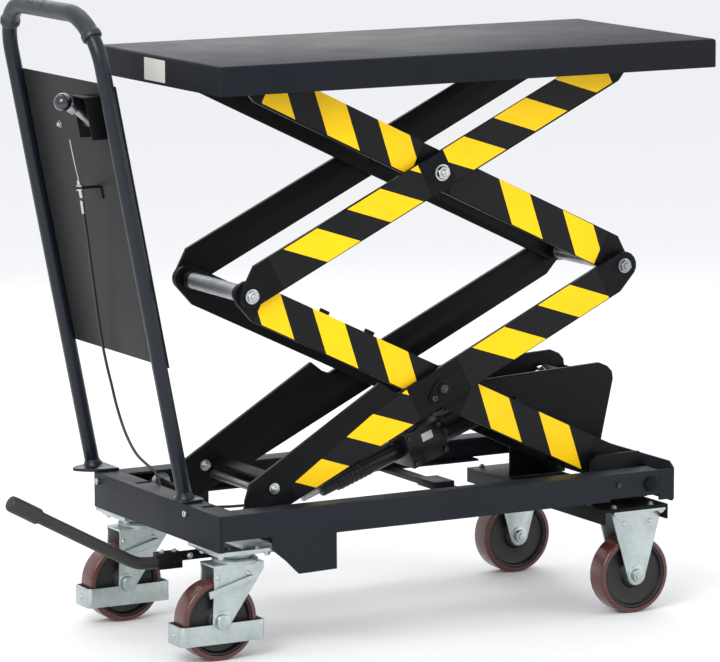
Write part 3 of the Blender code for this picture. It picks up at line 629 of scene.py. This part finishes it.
def wheel(word, body, x, y):
    axle = at(x, y, WHEEL_R)
    crown = arc(-0.0150, 0.0580, 0.0045, 180, 90, 6) + arc(0.0150, 0.0580, 0.0045, 90, 0, 6)
    profile = [(-0.0195, 0.0546), *crown, (0.0195, 0.0546)]
    piece("tread_" + word, turned(profile, axle, AWAY, 96, closed=True), TREAD, body, ("tyre_" + word,),
          edge=0.0)
    half = [(0.0182, 0.0540), (0.0188, 0.0528), (0.0180, 0.0508), (0.0112, 0.0480), (0.0106, 0.0230),
            (0.0175, 0.0205), (0.0200, 0.0185), (0.0200, 0.0125), (0.0185, 0.0115), (0.0185, 0.0066)]
    core = turned([(-d, r) for d, r in half] + [(d, r) for d, r in reversed(half)], axle, AWAY, 64, closed=True)
    piece("core_" + word, core, CORE, body, ("wheel_core_" + word,), edge=0.0005)


for word, _ in SIDES:
    for kind in ("swivel", "fixed"):
        low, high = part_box("tyre_%s_%s" % (kind, word))
        hub = (low + high) / 2 - HOME
        wheel("%s_%s" % (kind, word), "wheel_%s_%s" % (kind, word), hub.x, hub.y)
print("wheels made")

# %% [markdown]
# The forks are pressed from one sheet of plated steel. A swivel fork turns on two rows of balls under its round
# head, held by a kingpin. Its near leg carries the crossed strip of the brake, and a flat steel band runs right
# round the wheel to keep feet clear of it.


# %% Forks
def toe_band(x0, x1, y0, y1, z0, z1, thick, corner):
    """The band's ring, with round corners."""
    loops = (rounded(x0, x1, y0, y1, corner, 6),
             rounded(x0 + thick, x1 - thick, y0 + thick, y1 - thick, corner - thick * 0.8, 6))
    points = [at(x, y, z) for loop in loops for z in (z0, z1) for x, y in loop]
    n = len(loops[0])
    faces = []
    for a, b in ((0, 1), (1, 3), (3, 2), (2, 0)):
        faces += [[a * n + k, a * n + (k + 1) % n, b * n + (k + 1) % n, b * n + k] for k in range(n)]
    return Shape(points, faces)


def leg_disc(profile, hub, way, sides=48):
    """A flat round pressing on the outer face of a fork's leg; way is the side, -1 near or 1 far."""
    return turned(profile, at(hub.x, hub.y + way * LEG_FACE, WHEEL_R), (0, way, 0), sides)


LEG_FACE, TRAIL = 0.0236, 0.0345     # legs' outer faces from the wheel's middle; kingpin ahead of the axle
MOUNT_FACE = 0.1656                  # height of the underside of the mounting plates
BAND_THICK, BAND_CORNER = 0.0025, 0.0080
for word, _ in SIDES:
    body = "swivel_" + word
    low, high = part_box("tyre_swivel_" + word)
    axle = (low + high) / 2 - HOME
    king_x = axle.x + TRAIL
    dressed("swivel_fork_" + word, ZINC, 0.0008, 3)
    dressed("swivel_mount_" + word, ZINC, 0.0006)
    dressed("brake_strip_" + word, ZINC, 0.0005)
    band_low, band_high = (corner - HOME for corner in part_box("toe_guard_" + word))
    band = toe_band(band_low.x, band_high.x, band_low.y, band_high.y, band_low.z, band_high.z, BAND_THICK,
                    BAND_CORNER)
    piece("toe_band_" + word, band, ZINC, body, ("toe_guard_" + word,), edge=0.0003)
    races = turned([(0.1485, 0.0300), (0.1510, 0.0352), (0.1545, 0.0358), (0.1572, 0.0330), (0.1576, 0.0280)],
                   at(king_x, axle.y, 0.0), UP, 64)
    bosses = Shape()
    for way in (-1, 1):
        bosses = bosses + leg_disc([(0.0002, 0.0165), (0.0012, 0.0165), (0.0016, 0.0152)], axle, way)
        bosses = bosses + leg_disc([(0.0032, 0.0122), (0.0086, 0.0118), (0.0096, 0.0100)], axle, way, 40)
    piece("swivel_races_" + word, races + bosses, ZINC, body, edge=0.0004)
    fasteners("swivel_rivets_" + word, RIVET,
              [(at(axle.x + dx, axle.y + way * LEG_FACE, z), Vector((0, way, 0)))
               for dx, z in ((-0.0060, 0.1310), (0.0460, 0.1335)) for way in (-1, 1)]
              + [(at(band_low.x, axle.y, (band_low.z + band_high.z) / 2), LEFT)], 0.0040, BRIGHT, body)
    fasteners("mount_bolts_" + word, HEX, [(at(king_x + dx, axle.y + dy, MOUNT_FACE), DOWN)
                                           for dx in (-0.0400, 0.0400) for dy in (-0.0310, 0.0310)],
              0.0055, BRIGHT, "base")

    low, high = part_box("tyre_fixed_" + word)
    axle = (low + high) / 2 - HOME
    dressed("fixed_fork_" + word, ZINC, 0.0009, 3)
    seat = Shape()
    for way in (-1, 1):
        seat = seat + leg_disc([(0.0, 0.0155), (0.0014, 0.0155), (0.0018, 0.0145)], axle, way)
    piece("fixed_axle_seats_" + word, seat, ZINC, "base", edge=0.0004)
    fasteners("fixed_fork_rivets_" + word, RIVET, [(at(axle.x + dx, axle.y + way * LEG_FACE, z), Vector((0, way, 0)))
              for way in (-1, 1) for dx, z in ((-0.0240, 0.1480), (0.0260, 0.1480))], 0.0042, BRIGHT, "base")
    fasteners("fixed_mount_bolts_" + word, HEX, [(at(axle.x + dx, axle.y + dy, MOUNT_FACE), DOWN)
                                                 for dx in (-0.0420, 0.0420) for dy in (-0.0290, 0.0290)],
              0.0050, BRIGHT, "base")
print("forks and bands made")

# %% [markdown]
# The arms are sheared from heavy flat bar and painted black. Their shapes and the studs on them come from the
# working model. The tape is a sheet of vinyl 0.2 mm thick on each near arm's near face, cut a little inside the
# arm's edges.


# %% Arms
for level in ("lower", "upper"):
    for plane in ("outer", "inner"):
        for word, _ in SIDES:
            dressed("%s_%s_arm_%s" % (level, plane, word), ARM_PAINT, 0.0008, 3)


def along_arm(centre, rising, u, v):
    turn = 1.0 if rising else -1.0
    return centre[0] + u * COS - v * SIN * turn, centre[1] + u * SIN * turn + v * COS


HALF, INSET = 0.0290, 0.0011               # half the arm's height, and the bare margin outside the tape
TAPE_OUT, TAPE_IN = 0.0002, 0.0001         # how far the tape stands off the arm, and how far it is sunk in it
CHAMFER_U, CHAMFER_DROP = 0.2960, 0.0062   # where the deck end of an upper arm starts to narrow, and how far
TAPE_BEND, TAPE_END = (-0.1280, 0.0294), (-0.3000, 0.0067)  # the lowest tape's upper edge falls away from the arm's


def tape(level, rising, lean, starts, stretches, pitch):
    """Tape over the stretches (u from, u to) of one near arm; lean is the arm's centre line: height, slope."""
    name = "%s_%s" % (level, "outer" if rising else "inner")
    face = across(-1, OUTER_FACE if rising else INNER_FACE)
    finish = hazard_tape("tape_" + name, CENTRES[level], rising, *starts, pitch)
    strips = Shape()

    def edge(u, way):
        return u, lean[0] + lean[1] * u + way * (HALF - INSET)

    for u0, u1 in stretches:
        low_side, high_side = [edge(u0, -1), edge(u1, -1)], [edge(u1, 1), edge(u0, 1)]
        if abs(u1) > CHAMFER_U and level == "upper" and rising:
            high_side[0] = (u1, high_side[0][1] - CHAMFER_DROP)
            high_side.insert(1, edge(CHAMFER_U, 1))
        if abs(u0) > CHAMFER_U and level == "upper" and not rising:
            high_side[1] = (u0, high_side[1][1] - CHAMFER_DROP)
            high_side.insert(1, edge(-CHAMFER_U, 1))
        if level == "lower" and rising and u0 < 0.0:
            high_side[1:] = [TAPE_BEND, TAPE_END]
        cut = [along_arm(CENTRES[level], rising, u, v) for u, v in low_side + high_side]
        strips = strips + plate(cut, face - TAPE_OUT, face + TAPE_IN)
    piece("hazard_tape_" + name, strips, finish, "%s_arms" % name, edge=0.0)


tape("lower", True, (0.0030, -0.0200), (-0.2830, 0.1050), ((-0.3000, -0.0560), (0.0450, 0.3280)), (0.1245, 0.1310))
tape("upper", True, (0.0039, -0.0175), (-0.2590, 0.0260), ((-0.3250, -0.0330), (0.0170, 0.3330)), (0.1220, 0.1225))
tape("lower", False, (0.0030, 0.0200), (-0.3660, 0.0970), ((-0.3500, -0.0330), (0.0560, 0.3050)), (0.1275, 0.1265))
tape("upper", False, (0.0039, 0.0175), (-0.3610, 0.1400), ((-0.3330, -0.0450), (0.0330, 0.3300)), (0.1275, 0.1330))
print("arms and tape done")

# %% [markdown]
# At each crossing and at each end a pin carries the load. The pins end in zinc-plated heads on washers, and at the
# lower crossing a pear-shaped keeper plate with its own small screw stops the pin from turning.

# %% Pins and keepers
def outside(spot, proud=0.0):
    """A place on the outer face of each lower or upper outer arm, near then far, and the way that it faces."""
    return [(at(spot[0], across(side, OUTER_FACE + proud), spot[1]), Vector((0, side, 0))) for _, side in SIDES]


KEEPER, KEEPER_THICK = (-0.0215, -0.0045), 0.0030    # the keeper's screw, along and across the arm
lower = CENTRES["lower"]
keeper_spot = along_arm(lower, True, *KEEPER)
outline = [along_arm(lower, True, u, v)
           for u, v in arc(0.0, 0.0, 0.0165, -115, 115, 12) + arc(*KEEPER, 0.0085, 130, 250, 8)]
for k, (word, side) in enumerate(SIDES):
    face = across(side, OUTER_FACE)
    piece("keeper_plate_" + word, plate(outline, *sorted((face, face + side * KEEPER_THICK))), ARM_PAINT,
          "lower_outer_arms", edge=0.0005)
    fasteners("keeper_screw_" + word, SCREW, [outside(keeper_spot, KEEPER_THICK)[k]], 0.0048, DARK_STEEL,
              "lower_outer_arms")
    fasteners("lower_pin_head_" + word, HEX, [outside(lower, KEEPER_THICK)[k]], 0.0078, DARK_STEEL,
              "lower_outer_arms")
fasteners("upper_pin_heads", HEX, outside(CENTRES["upper"]), 0.0118, BRIGHT, "upper_outer_arms")
for name, body, x in (("left", "lower_inner_arms", LEFT_X), ("right", "upper_inner_arms", RIGHT_X)):
    half = [(0.1184, 0.0088), (0.0968, 0.0088), (0.0965, 0.0118), (0.0940, 0.0118), (0.0938, 0.0135),
            (0.0775, 0.0135), (0.0770, 0.0130)]
    middle = at(x, SCISSOR_Y, SIDE_Z)
    bar = turned([(-d, r) for d, r in half] + [(d, r) for d, r in reversed(half)], middle, AWAY, 48)
    piece("%s_shaft_bar" % name, bar, SHAFT_STEEL, body, ("%s_cross_shaft" % name,), edge=0.0004)
    rings = Shape()
    for _, side in SIDES:
        rings = rings + turned([(0.0780, 0.0149), (0.0925, 0.0149), (0.0928, 0.0137), (0.0777, 0.0137)],
                               middle, (0, side, 0), 48, closed=True)
    piece("%s_shaft_collars" % name, rings, ARM_PAINT, body, edge=0.0003)
    fasteners("%s_shaft_heads" % name, HEX, outside((x, SIDE_Z)), 0.0105,
              BRIGHT if name == "left" else SHAFT_STEEL, body)
for word, _ in SIDES:
    for kind in ("base_roller_", "deck_roller_"):
        low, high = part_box(kind + word)
        mid, size, w = (low + high) / 2, (high.z - low.z) / 2, (high.y - low.y) / 2
        wall = [(-w, 0.0066), (-w, size - 0.0040), (-w + 0.0010, size - 0.0030), (-w + 0.0010, size - 0.0012),
                (-w + 0.0022, size)]
        ring = turned(wall + [(-d, r) for d, r in reversed(wall)], mid, AWAY, 64, closed=True)
        piece(kind + "ring_" + word, ring, SHAFT_STEEL, kind + word, (kind + word,), edge=0.0003)
print("pins, shafts and rollers done")

# %% [markdown]
# Near its lower end each lower outer arm has a square anchor plate, turned on its corner, where a bolt holds the
# flat cross bar; a round spacer tube runs beneath it. The lower inner arms carry the stops for the fold, and the
# box that the ram pushes.

# %% Lower cross members and rocker
dressed("lower_cross_bar", ARM_PAINT, 0.0006)
dressed("rocker_box", ARM_PAINT, 0.0010, 3)
ANCHOR_HALF, ANCHOR_THICK = 0.0135, 0.0022
anchor = along_arm(lower, True, -0.3270, 0.0190)
tube_at = along_arm(lower, True, -0.3240, 0.0010)
piece("spacer_tube", turned([(-0.1095, 0.0065), (0.1095, 0.0065)], at(tube_at[0], SCISSOR_Y, tube_at[1]), AWAY, 40),
      SHAFT_STEEL, "lower_outer_arms", edge=0.0004)
corners = [(anchor[0] + ANCHOR_HALF * a, anchor[1] + ANCHOR_HALF * b)
           for a, b in ((1, 0.2), (-0.2, 1), (-1, -0.2), (0.2, -1))]
anchors = Shape()
for _, side in SIDES:
    faces = sorted((across(side, OUTER_FACE), across(side, OUTER_FACE + ANCHOR_THICK)))
    anchors = anchors + plate(corners, *faces)
piece("anchor_plates", anchors, ARM_PAINT, "lower_outer_arms", edge=0.0004)
fasteners("anchor_bolts", HEX, outside(anchor, ANCHOR_THICK)
          + [(at(anchor[0] - 0.0020, across(1, 0.1100), anchor[1]), TOWARDS)], 0.0080, BRIGHT,
          "lower_outer_arms")
stops = Shape()
for u in (-0.2400, -0.1520, 0.1480):
    top = 0.0030 + 0.0200 * u + HALF
    spots = [along_arm(lower, False, u + du, top + dv) for du, dv in ((-0.0080, -0.0006), (0.0080, -0.0006),
                                                                     (0.0080, 0.0050), (-0.0080, 0.0050))]
    for _, side in SIDES:
        stops = stops + plate(spots, *sorted((across(side, 0.0978), across(side, 0.1042))))
piece("fold_stops", stops, ARM_PAINT, "lower_inner_arms", edge=0.0005)
print("lower cross members done")

# %% [markdown]
# The pump and the ram share one line, which rises to the right. A slim plunger enters a finned black cylinder.
# Behind it stands the valve block with its cap, filler plug and a pale data plate left blank. The ram's barrel has
# a gland nut, and its bright rod ends in the pad that pushes the rocker's cross shaft.

# %% Hydraulics
FOOT = at(-0.1750, 0.0, 0.2078)
RISE = Vector((0.9400, 0.0, 0.3411)).normalized()
OVER = Vector((-RISE.z, 0.0, RISE.x))


def slab(s0, s1, v0, v1, y0, y1):
    corners = [FOOT - HOME + RISE * s + OVER * v for s, v in ((s0, v0), (s1, v0), (s1, v1), (s0, v1))]
    return plate([(c.x, c.z) for c in corners], y0, y1)


pump = turned([(0.0120, 0.0118), (0.0150, 0.0132), (0.0400, 0.0132), (0.0405, 0.0158), (0.1650, 0.0158)], FOOT, RISE)
pump = pump + slab(0.1650, 0.2350, -0.0310, 0.0265, -0.0335, 0.0335) + slab(0.0900, 0.1500, 0.0140, 0.0205,
                                                                          -0.0100, 0.0100)
FINS, FIN_FROM, FIN_STEP, FIN_WIDE = 7, 0.0480, 0.0085, 0.0035
for k in range(FINS):
    start = FIN_FROM + FIN_STEP * k
    pump = pump + turned([(start, 0.0150), (start, 0.0166), (start + FIN_WIDE, 0.0166), (start + FIN_WIDE, 0.0150)],
                         FOOT, RISE, 40)
cap = FOOT + RISE * 0.1780
pump = pump + turned([(0.0, 0.0112), (0.0290, 0.0112), (0.0300, 0.0085), (0.0400, 0.0085)],
                     Vector((cap.x, HOME.y - 0.0150, cap.z + 0.0050)), UP, 6)
pump = pump + turned([(0.0, 0.0060), (0.0320, 0.0060), (0.0325, 0.0082), (0.0370, 0.0082)],
                     Vector((cap.x, HOME.y + 0.0160, cap.z + 0.0050)) + RISE * 0.0250, UP, 24)
piece("pump_body", pump, PUMP_PAINT, "base", ("foot_pump",), edge=0.0007)
piece("pump_plunger", turned([(-0.0220, 0.0052), (-0.0210, 0.0062), (0.0125, 0.0062)], FOOT, RISE, 32), SHAFT_STEEL,
      "base", edge=0.0004)
piece("pump_data_plate", slab(0.1940, 0.2140, 0.0040, 0.0170, -0.0341, -0.0334), LABEL, "base",
      edge=0.0002)
barrel = turned([(0.2357, 0.0268), (0.2357, 0.0030), (0.2425, 0.0030), (0.2425, 0.0124), (0.3848, 0.0124),
                 (0.3848, 0.0262), (0.3740, 0.0268), (0.3735, 0.0252), (0.2480, 0.0252), (0.2475, 0.0268)],
                FOOT, RISE, 56, closed=True)
piece("ram_barrel", barrel, PUMP_PAINT, "base", ("ram_cylinder",), edge=0.0005)
rod = turned([(0.3122, 0.0118), (0.4440, 0.0118), (0.4446, 0.0164), (0.4522, 0.0164)], FOOT, RISE, 48)
piece("ram_piston_rod", rod, CHROME, "ram", ("ram_rod",), edge=0.0005)
fasteners("pump_block_screws", SCREW, [(FOOT + RISE * s + OVER * v + TOWARDS * 0.0335, TOWARDS)
                                       for s in (0.1720, 0.2280) for v in (-0.0240, 0.0200)], 0.0038, DARK_STEEL,
          "base")
print("hydraulics done")

# %% [markdown]
# The foot pedal is a bent bar, clamped in a socket on the pump's cross shaft by two bolts, with a moulded rubber
# sleeve over its raised end.

# %% Pedal
PEDAL_Y, PIVOT_X, PIVOT_Z, SLEEVE = -0.0850, -0.2850, 0.1520, 0.0570
tip = at(-0.7421, PEDAL_Y, 0.2600)
lean = Vector((-0.8772, 0.0, 0.4801))
bar_route = smooth_path([at(-0.4700, PEDAL_Y, 0.1430), at(-0.4950, PEDAL_Y, 0.1428), at(-0.5120, PEDAL_Y, 0.1432),
                         at(-0.5330, PEDAL_Y, 0.1470), at(-0.5700, PEDAL_Y, 0.1660), tip - lean * 0.0560], 0.006)
pedal = turned([(-0.2140, 0.0088), (0.2140, 0.0088)], at(PIVOT_X, 0.0, PIVOT_Z), AWAY, 40)
pedal = pedal + block(-0.4600, -0.2800, PEDAL_Y - 0.0048, PEDAL_Y + 0.0048, 0.1422, 0.1558)
pedal = pedal + block(-0.4955, -0.4560, PEDAL_Y - 0.0118, PEDAL_Y + 0.0118, 0.1327, 0.1573)
pedal = pedal + turned([(-0.0160, 0.0125), (0.0160, 0.0125)], at(PIVOT_X, PEDAL_Y, PIVOT_Z), AWAY, 32)
piece("pedal_lever", pedal, ARM_PAINT, "pedal", ("foot_pedal",), edge=0.0006)
piece("pedal_bar", swept(bar_route, 0.0097, 32), PEDAL_RUBBER, "pedal", edge=0.0005)
sleeve = [(0.0, 0.0096), (0.0015, 0.0120), (0.0040, 0.0128), (0.0460, 0.0128), (0.0540, 0.0124), (0.0565, 0.0106),
          (0.0572, 0.0070)]
piece("pedal_sleeve", turned(sleeve, tip - lean * SLEEVE, lean, 48), PEDAL_RUBBER, "pedal",
      edge=0.0006)
fasteners("pedal_bolts", HEX, [(at(x, PEDAL_Y, 0.1573), UP) for x in (-0.4860, -0.4650)]
          + [(at(-0.4400, PEDAL_Y - 0.0048, 0.1490), TOWARDS)], 0.0045, BRIGHT, "pedal")
print("pedal done")

# %% [markdown]
# The platform is one folded pan with welded corners. Two angle rails under it guide the upper rollers. A pale data
# label sits on the end skirt, and is left blank.

# %% Platform
dressed("platform", DECK_PAINT, 0.0)
for word, _ in SIDES:
    dressed("platform_rail_" + word, ARM_PAINT, 0.0004)
label_x = (deck_low - HOME).x - 0.0004
piece("data_label", plate(rounded(-0.0245, 0.0465, 0.8745, 0.9090, 0.0015, 3), label_x, label_x + 0.0006, axis="x"),
      LABEL, "deck", edge=0.0)
print("platform done")

# %% [markdown]
# The push handle is one bent tube, welded to two feet. A moulded sleeve covers the bow and ends on each side in a
# thicker collar, and the tubes enter the feet through a fillet of weld.

# %% Handle
HANDLE_Y, FOOT_X, FOOT_Z = (0.2505, -0.0750), -0.4405, 0.2360
LEAN, TOP_OF_HANDLE, BEND, TUBE_R = 0.1970, 0.9870, 0.0800, 0.0118
TUBE_UP = Vector((-LEAN, 0.0, 1.0)).normalized()


def handle_x(z):
    return FOOT_X - LEAN * (z - FOOT_Z)


def handle_route(foot_z=None, from_angle=0.0, steps=16):
    """Up the far tube, over the bow and down the near tube; from_angle starts part way round each corner."""
    top = at(handle_x(TOP_OF_HANDLE), 0.0, TOP_OF_HANDLE)
    points = [at(handle_x(foot_z), HANDLE_Y[0], foot_z)] if foot_z else []
    for hand, sign in ((HANDLE_Y[0], -1.0), (HANDLE_Y[1], 1.0)):
        centre = top - TUBE_UP * BEND + Vector((0.0, hand + sign * BEND, 0.0))
        angles = [math.radians(from_angle + (90.0 - from_angle) * k / steps) for k in range(steps + 1)]
        for a in (angles if sign < 0 else reversed(angles)):
            points.append(centre + Vector((0.0, -sign * math.cos(a), 0.0)) * BEND + TUBE_UP * math.sin(a) * BEND)
    return points + ([at(handle_x(foot_z), HANDLE_Y[1], foot_z)] if foot_z else [])


handle = swept(handle_route(FOOT_Z), TUBE_R, 40)
for hand in HANDLE_Y:
    foot_at = at(handle_x(FOOT_Z + 0.001), hand, FOOT_Z + 0.001)
    handle = handle + turned([(0.0, 0.0168), (0.0016, 0.0160), (0.0040, 0.0138), (0.0070, 0.0126), (0.0110, 0.0115)],
                             foot_at, TUBE_UP, 36)
LEAF_Z = (0.2323, 0.2370)
leaf = [(-0.4820, 0.2380), (-0.4790, 0.2450), (-0.4700, 0.2540), (-0.4570, 0.2600), (-0.4440, 0.2630),
        (-0.4160, 0.2600), (-0.4160, 0.2050), (-0.4500, 0.2080), (-0.4620, 0.2140), (-0.4720, 0.2220),
        (-0.4800, 0.2320)]
handle = handle + plate(leaf, *LEAF_Z, axis="z")
handle = handle + plate(rounded(-0.4540, -0.4160, -0.0980, -0.0520, 0.0100, 8), *LEAF_Z, axis="z")
piece("handle_tube", handle, TUBE_PAINT, "base", ("handle_frame",), edge=0.0006)
GRIP_FROM, GRIP_BORE = 36.0, TUBE_R + 0.0003         # degrees into each corner of the bow; inside radius
sleeve_route = handle_route(None, GRIP_FROM)
piece("grip_sleeve", swept(sleeve_route, 0.0138, 40, inner=GRIP_BORE), GRIP, "base", ("handle_grip",),
      edge=0.0008, steps=3)
collars = Shape()
for end, inward in ((0, 1), (-1, -2)):
    first = sleeve_route[end]
    way = (sleeve_route[inward] - first).normalized()
    profile = [(-0.0005, GRIP_BORE), (-0.0005, 0.0148), (0.0015, 0.0158), (0.0085, 0.0158), (0.0120, 0.0140),
               (0.0120, GRIP_BORE)]
    collars = collars + turned(profile, first - way * 0.0020, way, 40, closed=True)
piece("grip_collars", collars, GRIP, "base", edge=0.0005)
print("handle done")

# %% [markdown]
# The control panel is a thin sheet behind the tubes. On it a folded bracket carries the release lever, and a thin
# steel wire runs down to a stop, where it enters the black sheath that leads to the pump's valve.

# %% Panel and release gear
dressed("handle_panel", PANEL_PAINT, 0.0005)
dressed("lever_bracket", ARM_PAINT, 0.0005)
dressed("cable_stop", ARM_PAINT, 0.0004)
PANEL_FACE, KNOB_R = 0.0122, 0.0140  # the panel's front behind the tubes' centre line; the knob's radius


def ahead_of_panel(distance, y, z):
    return at(handle_x(z) + PANEL_FACE - distance, y, z)


FACE_OUT = Vector((-1.0, 0.0, -LEAN)).normalized()
lever_foot = ahead_of_panel(0.0180, -0.0125, 0.8190)
knob = ahead_of_panel(0.0600, -0.0125, 0.8535)
reach = (knob - lever_foot).normalized()
bend = [lever_foot + Vector((0.004, 0, -0.004)), lever_foot + Vector((-0.026, 0, 0.020)), knob - reach * 0.008]
stalk = swept(bend, [0.0060, 0.0058, 0.0044], 24)
stalk = stalk + turned([(-0.0200, 0.0070), (0.0200, 0.0070)], lever_foot, AWAY, 32)
stalk = stalk + turned([(-0.026, 0.0050), (-0.024, 0.0078), (-0.012, 0.0078), (-0.010, 0.0058)], knob, reach, 32)
piece("release_stalk", stalk, SHAFT_STEEL, "lever", edge=0.0005)
ball = [(-KNOB_R * math.cos(math.radians(a)), KNOB_R * math.sin(math.radians(a))) for a in range(6, 180, 6)]
ball = [(-KNOB_R, 0.0), *ball, (KNOB_R, 0.0)]
piece("release_knob", turned(ball, knob, reach, 48), KNOB, "lever", ("release_lever",), edge=0.0)
fasteners("panel_screws", HEX, [(ahead_of_panel(0.0, 0.1474, 0.8007), FACE_OUT)], 0.0052, BRIGHT, "base")

route = [ahead_of_panel(0.0400, 0.0330, 0.7900), ahead_of_panel(0.0380, 0.0370, 0.7600),
         ahead_of_panel(0.0340, 0.0430, 0.7270), ahead_of_panel(0.0330, 0.0460, 0.7130),
         ahead_of_panel(0.0320, 0.0490, 0.7000), ahead_of_panel(0.0300, 0.0560, 0.6800),
         ahead_of_panel(0.0250, 0.0720, 0.6300), ahead_of_panel(0.0190, 0.0940, 0.5700),
         ahead_of_panel(0.0140, 0.1130, 0.5100), ahead_of_panel(0.0110, 0.1240, 0.4700),
         ahead_of_panel(0.0070, 0.1330, 0.4250), ahead_of_panel(0.0020, 0.1400, 0.3850),
         ahead_of_panel(-0.0010, 0.1420, 0.3450), ahead_of_panel(-0.0010, 0.1280, 0.3050),
         at(-0.4320, 0.1060, 0.2740), at(-0.4130, 0.0810, 0.2480), at(-0.4060, 0.0680, 0.2200),
         at(-0.3830, 0.0520, 0.2020), at(-0.3400, 0.0430, 0.1930), at(-0.2600, 0.0400, 0.1900),
         at(-0.1600, 0.0400, 0.1980), at(-0.0700, 0.0400, 0.2200), at(-0.0250, 0.0450, 0.2400),
         at(-0.0120, 0.0370, 0.2470)]
line = smooth_path(route, 0.0060)
STOP_Z = 0.7130
wire = [p for p in line if p.z > STOP_Z - 0.012]
sheath = [p for p in line if p.z < STOP_Z - 0.030]
ferrule = [p for p in line if STOP_Z - 0.045 < p.z < STOP_Z - 0.020]
piece("release_wire", swept(wire, 0.0010, 12), BRIGHT, "base", ("release_cable",), edge=0.0)
piece("release_sheath", swept(sheath, 0.0023, 16), SHEATH, "base", edge=0.0)
piece("sheath_ferrule", swept(ferrule, 0.0030, 20), BRIGHT, "base", edge=0.0005)
adjuster = line[min(range(len(line)), key=lambda k: abs(line[k].z - STOP_Z))]
piece("cable_adjuster", turned([(-0.0160, 0.0032), (-0.0040, 0.0032), (-0.0038, 0.0058), (0.0050, 0.0058),
                                (0.0052, 0.0034), (0.0120, 0.0030)], adjuster, (-LEAN, 0.0, 1.0), 6),
      BRIGHT, "base", edge=0.0004)
print("panel and release done")

# %% [markdown]
# A pale floor and broad soft lights, as in a catalogue studio. The camera stands far off with a long lens, near
# the height of the platform, and sees the table from its near left corner.

# %% Studio
FLOOR_HALF = 60.0
floor = new_object("floor", [(x * FLOOR_HALF, y * FLOOR_HALF, 0) for x, y in ((-1, -1), (1, -1), (1, 1), (-1, 1))],
                   [[0, 1, 2, 3]])
paper = Finish("floor_paper")
floor.data.materials.append(paper.close(Base_Color=shade((0.86, 0.86, 0.86)), Roughness=0.9))
floor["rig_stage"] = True

world = bpy.data.worlds.new("studio")
world.use_nodes = True
world.node_tree.nodes["Background"].inputs["Color"].default_value = shade((0.965, 0.975, 1.0))
world.node_tree.nodes["Background"].inputs["Strength"].default_value = 1.02
bpy.context.scene.world = world
bpy.context.scene.view_settings.view_transform = "Standard"


def softbox(name, place, target, size, power, colour=(1.0, 1.0, 1.0)):
    lamp = bpy.data.lights.new(name, "AREA")
    lamp.shape, lamp.size, lamp.size_y, lamp.energy, lamp.color = "RECTANGLE", *size, power, colour
    obj = bpy.data.objects.new(name, lamp)
    obj.location = place
    obj.rotation_euler = (Vector(target) - Vector(place)).to_track_quat("-Z", "Y").to_euler()
    bpy.context.scene.collection.objects.link(obj)


softbox("key_light", (-2.6, -2.0, 2.4), (0.0, 0.0, 0.5), (1.8, 1.8), 80)
softbox("top_light", (0.3, 0.6, 3.0), (0.0, 0.0, 0.6), (3.0, 2.2), 22)
softbox("fill_light", (2.6, -2.4, 1.4), (0.0, 0.0, 0.5), (1.6, 2.0), 16)
softbox("rim_light", (0.8, 3.0, 2.0), (0.0, 0.0, 0.6), (2.6, 1.4), 20)

CAMERA_AT, LENS, SENSOR, FARTHEST = (-3.690, -6.530, 1.630), 238.3, 36.0, 200.0
YAW, PITCH, ROLL = math.radians(-28.87), math.radians(8.92), math.radians(-0.18)
ahead = Vector((-math.sin(YAW) * math.cos(PITCH), math.cos(YAW) * math.cos(PITCH), -math.sin(PITCH)))
level = Vector((math.cos(YAW), math.sin(YAW), 0.0))
upright = level.cross(ahead)
right = level * math.cos(ROLL) + upright * math.sin(ROLL)
top = upright * math.cos(ROLL) - level * math.sin(ROLL)
turn = Matrix((right, top, -ahead)).transposed().to_4x4()
camera = bpy.data.objects.new("camera", bpy.data.cameras.new("camera"))
camera.data.sensor_width, camera.data.lens, camera.data.clip_end = SENSOR, LENS, FARTHEST
camera.matrix_world = Matrix.Translation(at(*CAMERA_AT)) @ turn
bpy.context.scene.collection.objects.link(camera)
bpy.context.scene.camera = camera
for unused in (HEX, RIVET, SCREW):
    bpy.data.objects.remove(unused, do_unlink=True)
print("pieces made:", len(made))

# %% [markdown]
# The last cell prints the size of the dressed table in millimetres.

# %% Sizes and end
low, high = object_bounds()
print("dressed size in millimetres:", [round((high[k] - low[k]) * 1000, 1) for k in range(3)])
